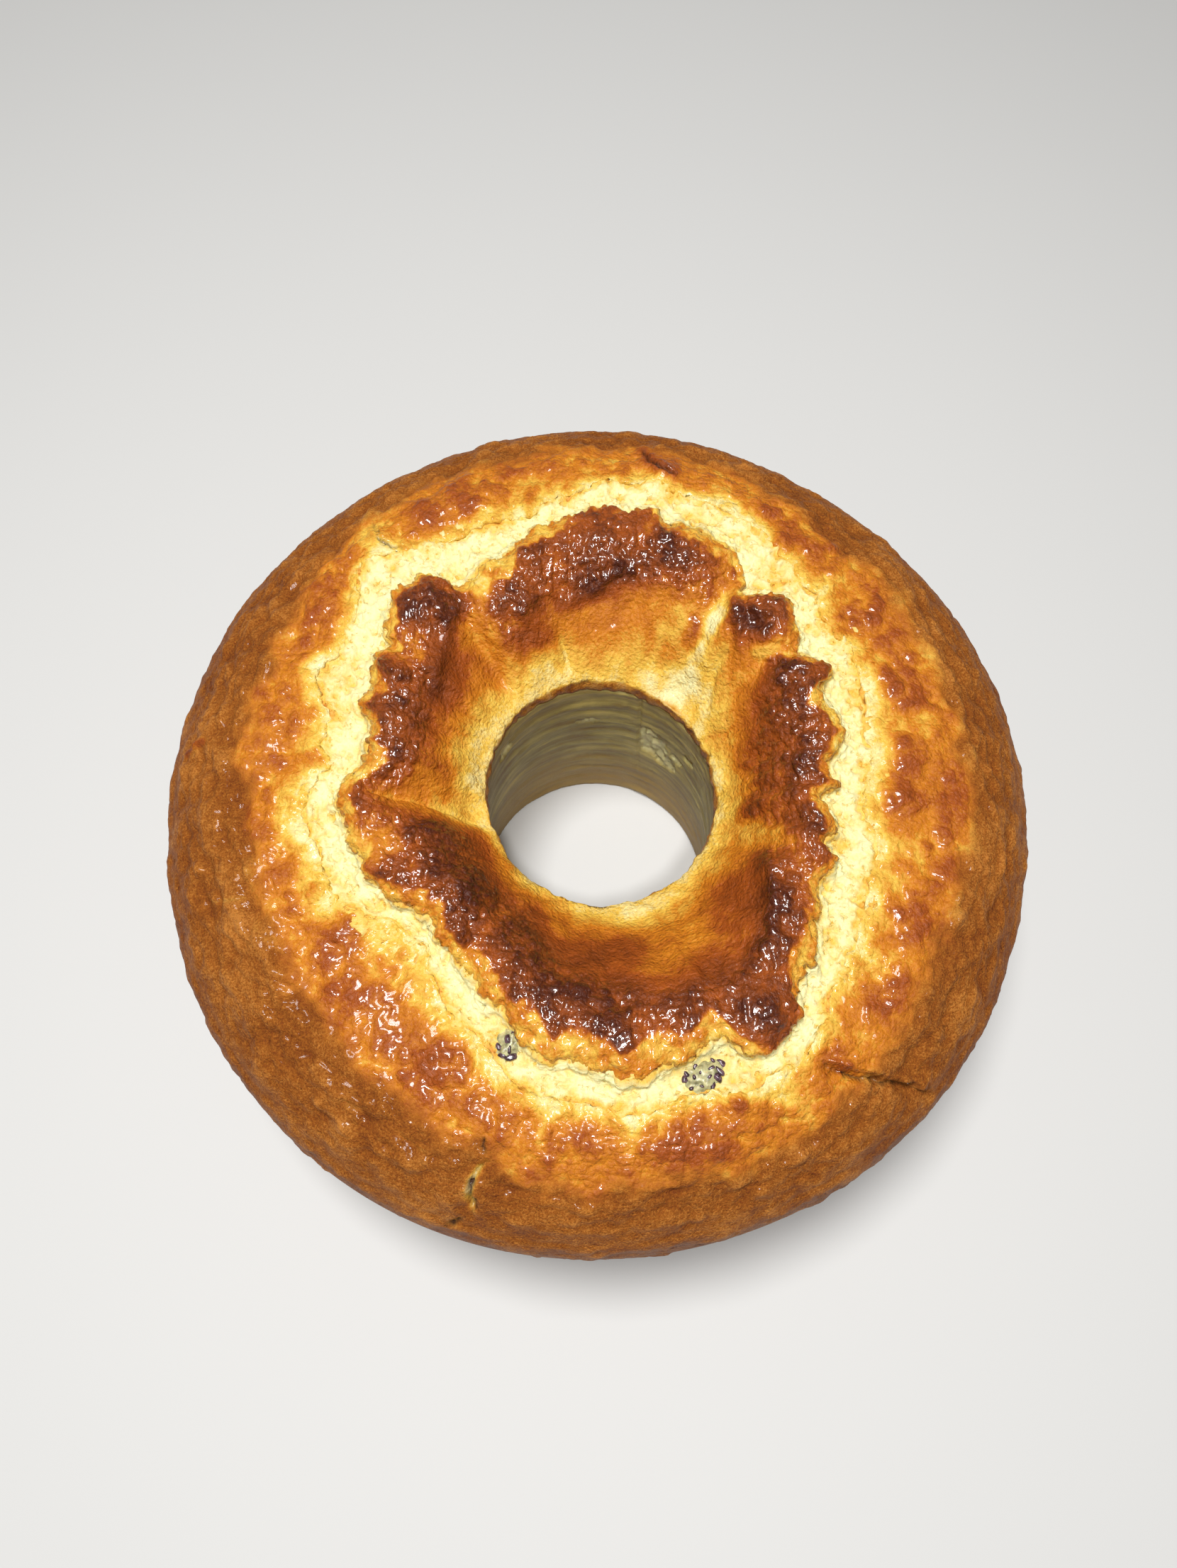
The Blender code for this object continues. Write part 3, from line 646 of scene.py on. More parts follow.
def split_relief(points):
    """Cracks with one raised side: their relief, the painted shadow in them and how pale each point is."""
    rise = np.zeros(points.shape[:-1])
    dark = np.zeros(points.shape[:-1])
    pale = np.zeros(points.shape[:-1])
    ragged = points + 0.5 * rough(points, 2.2, 51)[..., None]
    gaps = 0.45 + 0.55 * ease(rough(points, 2.4, 53), -0.5, 0.3)
    for half_width, depth, step, shadow_strength, paleness, *line in SPLITS:
        places = line_on_top(line)
        away, along = line_distance(ragged, places)
        ends = np.clip(np.minimum(along, 1.0 - along) * SPLIT_FADE, 0.0, 1.0)
        middle = falls_away(away, half_width) * ends
        reach = places[-1] - places[0]
        flank = np.sign((ragged - places[0]) @ np.array((-reach[1], reach[0], 0.0)))
        rise += 0.5 * step * ends * flank * falls_away(away, 3.0) - depth * middle
        dark = np.maximum(dark, np.clip(1.7 * middle * gaps, 0.0, 1.0) * shadow_strength)
        pale = np.maximum(pale, paleness * ends * falls_away(away, 2.2 * half_width))
    return rise, dark, pale


def stretched_round(points):
    """Places for noise that is drawn out round the ring."""
    radius = np.hypot(points[..., 0], points[..., 1])
    stretched = points * (1.0 + 0.8 * (radius - 100.0) / radius)[..., None]
    stretched[..., 2] = points[..., 2] * 1.8
    return stretched


def matt_folds(points, length, seed):
    """Low swellings and a few creases of the matt crust, drawn out round the ring."""
    stretched = stretched_round(points)
    creases = creased(stretched, 0.8 * length, seed + 5, 2)
    return 0.75 * rough(stretched, length, seed, 3) + 0.35 * creases


def dimples(points, low, high, count, seed):
    """Shallow pits and blisters scattered over the crust, longer round the ring than across."""
    rng = np.random.default_rng(seed)
    angle = np.degrees(np.arctan2(points[..., 1], points[..., 0]))
    height = points[..., 2]
    relief = np.zeros(points.shape[:-1])
    for _ in range(count):
        centre = rng.uniform(0.0, 360.0)
        level = rng.uniform(low, high)
        along = rng.uniform(*DIMPLE_LENGTH)
        across = rng.uniform(*DIMPLE_WIDTH)
        depth = rng.uniform(*DIMPLE_DEPTH)
        columns = np.abs(turn_between(angle[0], centre)) < DIMPLE_REACH
        u = round_from(angle[:, columns], centre, DIMPLE_RADIUS) / along
        v = (height[:, columns] - level) / across
        relief[:, columns] -= depth * np.exp(-(u * u + v * v))
    return relief


# Settings.
def size_setting(name, description, default, low, high):
    """A length that the user can change, in metres."""
    return bpy.props.FloatProperty(
        name=name, description=description, default=default, min=low, max=high, precision=5,
        unit="LENGTH", subtype="DISTANCE",
    )


def power_setting(name, description, default):
    """The power of a light, in watts."""
    return bpy.props.FloatProperty(
        name=name, description=description, default=default, min=0.0, unit="POWER"
    )


def colour_setting(name, description, colour):
    """A colour that the user can change."""
    return bpy.props.FloatVectorProperty(
        name=name, description=description, default=colour, size=3, min=0.0, max=1.0, subtype="COLOR"
    )


class CakeForm(bpy.types.PropertyGroup):
    """Sizes of the fine surface."""

    wrinkle_height: size_setting("Wrinkle height", "Wrinkles of the dark glossy skin", 0.00075, 0.0, 0.002)
    crust_bump: size_setting("Crust bumps", "Bumps of the golden outer crust", 0.00055, 0.0, 0.002)
    crumb_tear: size_setting("Crumb tears", "Height of the torn crumb in the crack", 0.0009, 0.0, 0.002)
    lip_height: size_setting("Lip thickness", "Torn inner lip of the crack", 0.0024, 0.001, 0.004)
    bead_size: size_setting("Bead radius", "Beads of the fruit", 0.00085, 0.0004, 0.0013)


class CakeColours(bpy.types.PropertyGroup):
    """Colours of the finishes, as linear values."""

    crumb: colour_setting("Crumb", "Pale crumb in the crack", (0.71, 0.65, 0.325))
    golden: colour_setting("Golden crust", "Palest crust", (0.66, 0.41, 0.057))
    amber: colour_setting("Amber crust", "Crust between golden and brown", (0.50, 0.165, 0.010))
    brown: colour_setting("Brown crust", "Well browned crust", (0.285, 0.062, 0.007))
    dark: colour_setting("Dark crust", "Darkest skin on the lumps", (0.062, 0.012, 0.004))
    matt: colour_setting("Matt crust", "Fine-grained outer crust", (0.29, 0.085, 0.008))
    wall: colour_setting("Wall of the hole", "Steamed crumb of the hole's wall", (0.35, 0.28, 0.085))
    pulp: colour_setting("Fruit pulp", "Grey-green pulp", (0.36, 0.33, 0.17))
    bead: colour_setting("Fruit beads", "Dark beads in the pulp", (0.030, 0.016, 0.018))


class StageSettings(bpy.types.PropertyGroup):
    """Floor and lights."""

    floor: colour_setting("Floor", "Plain pale floor", (0.56, 0.555, 0.54))
    key_power: power_setting("Key light", "Power of the large light overhead", 12.0)
    glint_power: power_setting("Glint light", "Power of the small light that makes the glints", 4.5)
    sky_strength: bpy.props.FloatProperty(
        name="Sky", description="Strength of the even light from all round", default=0.12, min=0.0,
    )


# Finishes.
class Wire:
    """An output of a node. Sums and products of wires add Math nodes."""

    def __init__(self, finish, socket):
        self.finish = finish
        self.socket = socket

    def maths(self, operation, *values):
        """A new wire that carries the result of a Math node."""
        settings = {"operation": operation}
        return self.finish.node("ShaderNodeMath", settings, dict(enumerate(values)))

    def __add__(self, other):
        return self.maths("ADD", self, other)

    def __sub__(self, other):
        return self.maths("SUBTRACT", self, other)

    def __rsub__(self, other):
        return self.maths("SUBTRACT", other, self)

    def __mul__(self, other):
        return self.maths("MULTIPLY", self, other)

    __radd__ = __add__
    __rmul__ = __mul__


class Finish:
    """A new material, made of nodes that end in one Principled shader."""

    def __init__(self, name):
        self.material = bpy.data.materials.new(name)
        self.material.use_nodes = True
        self.nodes = self.material.node_tree.nodes
        self.links = self.material.node_tree.links
        self.shader = self.nodes["Principled BSDF"]

    def node(self, kind, settings=None, sockets=None, output=0):
        """A new node: its type, its settings and what its sockets get. Gives one of its outputs."""
        made = self.nodes.new(kind)
        for key, value in (settings or {}).items():
            if key == "stops":
                self.set_stops(made.color_ramp, value)
            else:
                setattr(made, key, value)
        for key, value in (sockets or {}).items():
            self.feed(made.inputs[key], value)
        return Wire(self, made.outputs[output])

    def set_stops(self, ramp, stops):
        """Gives a ramp its places and colours."""
        while len(ramp.elements) < len(stops):
            ramp.elements.new(1.0)
        for element, (place, colour) in zip(ramp.elements, stops):
            element.position = place
            element.color = (*colour, 1.0)

    def feed(self, socket, value):
        """Links a wire to a socket, or sets the socket's own value."""
        if isinstance(value, Wire):
            self.links.new(value.socket, socket)
        else:
            socket.default_value = value

    def surface(self, values):
        """Feeds the sockets of the material's shader."""
        for key, value in values.items():
            self.feed(self.shader.inputs[key], value)

    def mark(self, name):
        """A number that the piece carries at each of its points."""
        return self.node("ShaderNodeAttribute", {"attribute_name": name}, output=2)

    def grain(self, length, detail=2.0, stretch=(1.0, 1.0, 1.0), roughness=0.5, distortion=0.0):
        """Noise on the piece's own coordinates, with this length in millimetres."""
        place = self.node("ShaderNodeTexCoord", output=3)
        if stretch != (1.0, 1.0, 1.0):
            sockets = {"Vector": place, "Scale": stretch}
            place = self.node("ShaderNodeMapping", {"vector_type": "POINT"}, sockets)
        return self.node("ShaderNodeTexNoise", None, {
            "Vector": place, "Scale": 1.0 / (length * MM), "Detail": detail, "Roughness": roughness,
            "Distortion": distortion,
        })

    def pores(self, length):
        """Distance to the nearest of many scattered points, this many millimetres apart."""
        place = self.node("ShaderNodeTexCoord", output=3)
        return self.node("ShaderNodeTexVoronoi", None, {"Vector": place, "Scale": 1.0 / (length * MM)})

    def ramp(self, value, stops):
        """Colour of a value, from places and colours."""
        return self.node("ShaderNodeValToRGB", {"stops": stops}, {"Fac": value})

    def step(self, value, low, high):
        """0 below low, 1 above high and a smooth step between."""
        sockets = {"Value": value, "From Min": low, "From Max": high}
        return self.node("ShaderNodeMapRange", {"interpolation_type": "SMOOTHSTEP"}, sockets)

    def mix(self, share, first, second):
        """Mix of two colours."""
        settings = {"data_type": "RGBA", "blend_type": "MIX"}
        first = (*first, 1.0) if isinstance(first, tuple) else first
        second = (*second, 1.0) if isinstance(second, tuple) else second
        return self.node("ShaderNodeMix", settings, {0: share, 6: first, 7: second}, output=2)

    def bump(self, height, distance, strength=1.0):
        """Normal of a fine grain, this many millimetres high."""
        sockets = {"Height": height, "Distance": distance * MM, "Strength": strength}
        return self.node("ShaderNodeBump", None, sockets)


def tinted(colour, *shares):
    """A colour with its red, green and blue changed."""
    return tuple(min(1.0, value * share) for value, share in zip(colour, shares))


def crust_stops(colours):
    """Colours of the crust against how brown it is."""
    return (
        (0.0, tuple(colours.crumb)), (0.22, tuple(colours.golden)), (0.43, tuple(colours.amber)),
        (0.65, tuple(colours.brown)), (1.0, tuple(colours.dark)),
    )


def crust_finish(colours):
    """Baked crust: golden to dark brown, glossy on the wrinkled skin and matt on the outer wall."""
    finish = Finish("baked_crust")
    matt = finish.mark("matt")
    brown = finish.mark("brown")
    wrinkled = finish.mark("wrinkled")
    mottle = finish.grain(4.5, detail=3.0) - 0.5
    medium = finish.grain(1.8, detail=2.0) - 0.5
    fine = finish.grain(0.8, detail=2.0) - 0.5
    shade = brown + (mottle * 0.18 + medium * 0.2) * (wrinkled * 0.6 + 0.4) + fine * 0.22
    glossy = finish.ramp(shade, crust_stops(colours))
    specks = finish.grain(0.6, detail=3.0, roughness=0.75)
    blotches = finish.grain(14.0, detail=3.0) - 0.5
    # The light end of the matt ramp also shows the painted highlight on raised bumps of the matt crust, and
    # its deep end the painted shade in pits and creases.
    light = tinted(colours.matt, 1.75, 2.25, 4.0)
    deep = tinted(colours.matt, 0.52, 0.38, 0.5)
    tone = brown + specks * 1.5 + medium * 0.3 + blotches * 0.3 - 0.73
    plain = finish.ramp(tone, ((0.15, light), (0.5, tuple(colours.matt)), (0.9, deep)))
    colour = finish.mix(matt, glossy, plain)
    # Painted shadow: the cracks and the groove along the peel's edge are mixed towards near-black.
    colour = finish.mix(finish.mark("split"), colour, (0.04, 0.014, 0.005))
    knobs = finish.grain(1.0, detail=3.0, distortion=0.5) + (0.7 - finish.pores(1.2)) * 0.4
    height = knobs * (1.0 - matt) + specks * matt * 1.4
    finish.surface({
        "Base Color": colour,
        "Roughness": 0.5 - wrinkled * 0.14 + medium * 0.2 + matt * 0.22,
        "Coat Weight": (1.0 - matt) * (0.10 + wrinkled * 0.60) + matt * 0.12,
        "Coat Roughness": 0.11,
        "Specular IOR Level": 0.16,
        "Subsurface Weight": 0.05,
        "Subsurface Scale": 0.003,
        "Normal": finish.bump(height, 0.75, 0.9),
    })
    return finish.material


def crumb_finish(colours):
    """Pale, torn and porous crumb."""
    finish = Finish("torn_crumb")
    brown = finish.mark("brown")
    pores = finish.step(finish.grain(1.7, detail=3.0, roughness=0.6), 0.28, 0.44)
    fluff = finish.grain(1.0, detail=4.0, roughness=0.65)
    # Pore hollows are made browner as painted shade.
    shade = brown + (1.0 - pores) * 0.12 + fluff * 0.20 - 0.12
    height = fluff * 0.9 + pores * 0.6
    finish.surface({
        "Base Color": finish.ramp(shade, crust_stops(colours)), "Roughness": 0.62,
        "Subsurface Weight": 0.12, "Subsurface Scale": 0.003, "Normal": finish.bump(height, 0.4, 0.9),
    })
    return finish.material


def wall_finish(colours):
    """Wall of the hole: olive-tan layers that follow the pan's tube, with paler crumb where torn."""
    finish = Finish("layered_wall")
    layers = finish.grain(3.0, detail=4.0, stretch=(0.12, 0.12, 1.0), roughness=0.6)
    clouds = finish.grain(11.0, detail=2.0)
    light = tinted(colours.wall, 1.9, 1.9, 1.9)
    deep = tinted(colours.wall, 0.62, 0.48, 0.40)
    toasted = tinted(colours.wall, 0.85, 0.62, 0.50)
    tone = layers * 0.8 + clouds * 0.3
    colour = finish.ramp(tone, ((0.38, deep), (0.55, tuple(colours.wall)), (0.78, light)))
    colour = finish.mix(finish.mark("torn"), colour, tuple(colours.crumb))
    colour = finish.mix(finish.mark("brown"), colour, toasted)
    finish.surface({
        "Base Color": colour, "Roughness": 0.6, "Subsurface Weight": 0.08, "Subsurface Scale": 0.003,
        "Normal": finish.bump(layers * 0.7 + finish.grain(0.8) * 0.4, 0.35, 0.8),
    })
    return finish.material


def pulp_finish(colours):
    """Moist, cloudy grey-green pulp."""
    finish = Finish("fruit_pulp")
    cloudy = finish.grain(1.4, detail=3.0)
    light = tinted(colours.pulp, 1.5, 1.5, 1.5)
    deep = tinted(colours.pulp, 0.45, 0.45, 0.45)
    colour = finish.ramp(cloudy, ((0.3, deep), (0.5, tuple(colours.pulp)), (0.7, light)))
    finish.surface({
        "Base Color": colour, "Roughness": 0.34, "Subsurface Weight": 0.15, "Subsurface Scale": 0.002,
        "Normal": finish.bump(finish.grain(0.6, detail=3.0), 0.15, 0.7),
    })
    return finish.material


def bead_finish(colours):
    """Dark, smooth beads with a plum tint."""
    finish = Finish("fruit_bead")
    cloudy = finish.grain(0.7, detail=2.0)
    light = (0.16, 0.085, 0.11)
    colour = finish.ramp(cloudy, ((0.4, tuple(colours.bead)), (0.75, light)))
    finish.surface({
        "Base Color": colour, "Roughness": 0.22 + cloudy * 0.1, "Normal": finish.bump(cloudy, 0.05, 0.5)
    })
    return finish.material


def floor_finish(colour):
    """Plain pale floor with faint clouds."""
    finish = Finish("pale_floor")
    cloudy = finish.grain(60.0, detail=3.0)
    soft = finish.mix(cloudy * 0.06, tuple(colour), (0.5, 0.5, 0.5))
    finish.surface({"Base Color": soft, "Roughness": 0.72})
    return finish.material


def made_once(name, make, colours):
    """The material with this name, made when it is first asked for."""
    return bpy.data.materials.get(name) or make(colours)


# Pieces.
def ring_angles(columns):
    """Angles of the columns of a ring."""
    return np.arange(columns) * 360.0 / columns


def column_of(*values):
    """Numbers as rows of one column each, to be spread round the ring."""
    return np.array(values, float)[:, None]


def top_block(angle, stations, lift=0.0, curve=TOP_CURVE, out=0.0):
    """Rows of the top at some stations, lifted and moved outwards."""
    radius, height = top_points(np.reshape(stations, (-1, 1)).astype(float), angle, curve)
    return radius + out, height + lift


def crust_piece(context, name, grid, material, make):
    """Makes a ring of the cake in one of its finishes."""
    spun_piece(name, grid, made_once(material, make, context.scene.cake_colours))
    return {"FINISHED"}


class CAKE_OT_inner_crust(bpy.types.Operator):
    """Make the wrinkled brown crust between the hole and the crack"""

    bl_idname = "cake.inner_crust"
    bl_label = "Inner crust"

    columns = 1040
    # The band that turns down into the hole: how far below the rim its rows are, and how far out.
    band_drops = (7.6, 7.4, 6.2, 5.0, 3.8, 2.6, 1.5, 0.6)
    band_outs = (2.2, 0.8, -0.1, -0.45, -0.5, -0.45, -0.4, -0.25)
    # The lip's edge: the drop of its rows as shares of its thickness, and how far out they are.
    lip_rows = ((-0.45, 0.45), (-0.8, 0.25), (-1.05, -0.7))
    # The back of the piece: how many stations behind the lip its rows are, and their slope.
    backs = (0.07, 0.3, 0.5, 0.7, 0.88)
    back_slope = 8.0

    def rows(self, angle, lip):
        """The ring's points; for each how much it is seen, torn and underneath, and its way to the lip."""
        stations = np.concatenate([
            np.linspace(0.0, 0.16, 7), np.linspace(0.16, 0.5, 21)[1:], np.linspace(0.5, 1.0, 52)[1:],
        ])
        drops = column_of(*self.band_drops)
        band = hole_radius(RIM_HEIGHT - drops, angle) + column_of(*self.band_outs)
        backs = column_of(*self.backs)
        grid = Grid(angle, [
            (band, RIM_HEIGHT - drops + rim_tilt(angle, band)),
            top_block(angle, stations),
            *(top_block(angle, 1.0, drop * lip, out=out) for drop, out in self.lip_rows),
            top_block(angle, 1.0 - backs, -1.25 * lip - backs * self.back_slope),
        ])
        above = len(drops) + len(stations)
        below = len(self.lip_rows) + len(backs)
        seen = grid.by_row(0.0, 0.0, np.ones(above), np.zeros(below - 2))
        edge = grid.by_row(np.zeros(len(drops)), ease(stations, 0.96, 1.0), np.ones(below))
        under = grid.by_row(np.zeros(above), np.ones(below))
        return grid, seen, edge, under, grid.radius[above - 1] - grid.radius

    def execute(self, context):
        form = context.scene.cake_form
        angle = ring_angles(self.columns)
        grid, seen, edge, under, to_lip = self.rows(angle, form.lip_height / MM)
        points = grid.points
        radius = grid.radius

        width = round_the_ring(angle, FRINGE) + 1.1 * rough(points, 4.0, 45)
        fringe = 1.0 - ease(to_lip - width, -0.9, 1.1)
        spread = ease(radius + 2.0 * rough(points, 8.0, 47), 32.5, 48.0)
        slope = 0.17 + (round_the_ring(angle, SLOPE_BROWN) - 0.05) * spread
        brown = browning(points, slope + 0.06 * ease(radius, 52.0, 62.0))
        skin = blended(points, SKIN)
        bubbles = 0.75 - blisters(points, 2.6, 71)
        start = round_the_ring(angle, WRINKLES_START)
        wrinkled = ease(radius, start - 3.0, start + 4.0) * ease(brown, 0.30, 0.62)
        smooth = (1.0 - wrinkled) * (1.0 - edge)
        folds = creased(points, 5.0, 91, 2)
        near_rim = 1.0 - ease(radius, RIM_RADIUS + 1.0, RIM_RADIUS + 5.0)
        band = ease(RIM_HEIGHT + rim_tilt(angle, radius) - points[..., 2], 0.0, 1.4)

        relief = form.wrinkle_height / MM * wrinkled * (1.0 - 0.4 * fringe) * (skin + 0.9 * bubbles)
        relief += 0.35 * rough(points, 11.0, 75, 2) + (0.06 + 0.12 * wrinkled) * rough(points, 3.0, 79, 1)
        relief += crease_relief(points)
        relief += smooth * (0.34 * folds + 0.16 * rough(points, 2.0, 93, 1))
        relief += (0.5 * edge + 0.35 * fringe) * rough(points, 1.9, 83)
        relief += near_rim * blended(points, RIM_BUMPS)
        grid.raise_by(relief * seen)

        brown += wrinkled * (0.11 * skin + 0.06 * bubbles)
        brown += 0.9 * fringe * (0.31 + 0.14 * rough(points, 3.0, 49) - brown)
        brown += 0.11 * wrinkled * rough(points, 6.0, 77)
        brown -= smooth * (0.05 * folds + 0.03 * rough(points, 3.0, 95, 2))
        brown += band * (0.30 + 0.20 * rough(points, 3.0, 89) - brown)
        grid.marks = {
            "brown": brown * (1.0 - under) + 0.38 * under,
            "wrinkled": wrinkled * (1.0 - 0.2 * fringe),
            "matt": 0.8 * band,
            "split": np.zeros_like(brown),
        }
        return crust_piece(context, "inner_crust", grid, "baked_crust", crust_finish)


class CAKE_OT_crumb(bpy.types.Operator):
    """Make the torn pale crumb that shows in the crack"""

    bl_idname = "cake.crumb"
    bl_label = "Crumb in the crack"

    columns = 1200
    row_count = 60
    first_station = 0.84
    last_station = 2.3
    # The back of the piece: station and drop of each row.
    backs = ((2.3, -4.0), (1.6, -6.0), (0.84, -4.0))
    # How far past a bit of fruit the crumb dips towards it.
    dip_reach = 1.2

    def execute(self, context):
        form = context.scene.cake_form
        angle = ring_angles(self.columns)
        stations = np.linspace(self.first_station, self.last_station, self.row_count)
        grid = Grid(angle, [
            top_block(angle, stations, curve=CRUMB_CURVE),
            *(top_block(angle, back, drop, CRUMB_CURVE) for back, drop in self.backs),
        ])
        points = grid.points
        station = grid.by_row(stations, *(back for back, _ in self.backs))
        seen = grid.by_row(np.ones(len(stations)), np.zeros(len(self.backs)))

        pits = ease(blisters(points, 3.0, 105), 0.1, 0.5) - 1.0
        relief = form.crumb_tear / MM * (blended(points, CRUMB_FLUFF) + 0.7 * pits)
        gentle = ease(round_the_ring(angle, FRINGE), 1.0, 5.0) * (1.0 - ease(station, 1.02, 1.35))
        relief += 0.5 * form.lip_height / MM * gentle
        for place, radius, half_sizes, _ in FRUIT_BITS.values():
            u = round_from(angle, place, radius) / (half_sizes[0] + self.dip_reach)
            v = (grid.radius - radius) / (half_sizes[1] + self.dip_reach)
            near = np.exp(-((u * u + v * v) ** 2))
            relief = relief * (1.0 - 0.6 * near) - 0.7 * near
        # Raised crumb is made paler as a painted highlight and its dips browner as painted shade.
        grid.marks["brown"] = (
            0.07 + 0.10 * rough(points, 5.0, 113) - 0.09 * relief
            + 0.20 * ease(station, 1.7, 2.1) + 0.30 * (1.0 - ease(station, 0.98, 1.15))
        )
        grid.raise_by(relief * seen)
        return crust_piece(context, "crumb", grid, "torn_crumb", crumb_finish)


class CAKE_OT_outer_crust(bpy.types.Operator):
    """Make the golden crust from the crack over the shoulder to the side wall"""

    bl_idname = "cake.outer_crust"
    bl_label = "Outer crust"

    columns = 960
    # The last rows crowd towards the edge of the side wall.
    edge_rows = 16
    edge_crowding = 1.8
    # The back of the piece: station and drop of each row.
    backs = ((3.4, -6.0), (2.7, -5.0), (2.15, -3.0), (1.98, -0.9))
    # Pits and blisters: how low and how high they are, their number and the seed of their places.
    dimple_spread = (71.0, 98.0, 420, 5)

    def rows(self, angle):
        """The ring's points, and for each its station and how much it is seen."""
        last = np.linspace(0.0, 1.0, self.edge_rows + 1)[1:]
        stations = np.concatenate([
            np.linspace(2.0, 3.0, 44), np.linspace(3.0, 3.9, 34)[1:],
            3.9 + 0.1 * (1.0 - (1.0 - last) ** self.edge_crowding),
        ])
        side = side_radius(angle)
        grid = Grid(angle, [
            top_block(angle, stations, 0.15 * (1.0 - ease(stations, 2.0, 2.3))[:, None]),
            (side - 3.0, SIDE_HEIGHT),
            (side - 6.0, SIDE_HEIGHT + 12.0),
            *(top_block(angle, back, drop) for back, drop in self.backs),
        ])
        station = grid.by_row(stations, 4.0, 3.8, *(back for back, _ in self.backs))
        seen = grid.by_row(np.ones(len(stations)), np.zeros(5), 0.6)
        return grid, station, seen * (1.0 - ease(station, 3.965, 4.0))

    def execute(self, context):
        form = context.scene.cake_form
        angle = ring_angles(self.columns)
        grid, station, seen = self.rows(angle)
        points = grid.points

        boundary = round_the_ring(angle, MATT_START)
        wavy = 2.5 * rough(points, 9.0, 121) + 1.2 * hills(points, 2.6, 125)
        matt = ease(grid.radius + wavy, boundary - 3.5, boundary + 3.5)
        bumps = blended(points, GOLDEN_BUMPS) + 0.5 * (0.7 - blisters(points, 3.4, 139))
        folds = matt_folds(points, 10.0, 147)
        flakes = creased(stretched_round(points), 4.4, 155, 2)
        pits = dimples(points, *self.dimple_spread)
        splits, split, pale = split_relief(points)
        peel, _ = line_distance(points, line_on_top(PEEL_EDGE))
        fleck, _ = line_distance(points, line_on_top(FLECK))
        on_fleck = falls_away(fleck, 1.1)

        relief = form.crust_bump / MM * bumps * (1.0 - matt) + 0.5 * rough(points, 12.0, 143)
        relief += matt * (1.3 * folds + 0.3 * rough(points, 2.4, 149, 2) + 0.5 * flakes + 1.6 * pits)
        relief *= 1.0 - 0.6 * ease(station, 3.4, 3.85)
        relief += splits + 0.9 * falls_away(fleck, 0.9)
        relief += 1.6 * falls_away(peel, 2.4) - 2.0 * falls_away(peel, 0.7)
        grid.raise_by(relief * seen)

        golden = 0.14 + 0.31 * ease(station, 1.98, 2.4) + 0.09 * rough(points, 5.0, 129)
        brown = browning(points, golden)
        brown = (brown - 0.45 * np.maximum(brown - 0.54, 0.0) + 0.10 * bumps) * (1.0 - matt)
        # Painted light on the matt crust: the tops of its swellings, blisters and flakes are made paler as
        # a painted highlight, and its creases and pits browner as painted shade.
        brown += matt * (0.50 + 0.08 * rough(points, 16.0, 127) - 0.12 * folds)
        marked = 0.45 * on_fleck + 0.3 * falls_away(peel, 2.0) - pale
        grid.marks = {
            "brown": brown - (0.45 * pits + 0.11 * flakes) * matt + marked,
            "wrinkled": (0.45 * ease(brown, 0.42, 0.70) + 0.15) * (1.0 - matt),
            "matt": matt * (1.0 - on_fleck) * (1.0 - np.clip(2.2 * pale, 0.0, 1.0)),
            # Painted shadow: near-black in the cracks and in the groove under the peel's edge.
            "split": np.maximum(split, 0.9 * falls_away(peel, 0.6)),
        }
        return crust_piece(context, "outer_crust", grid, "baked_crust", crust_finish)


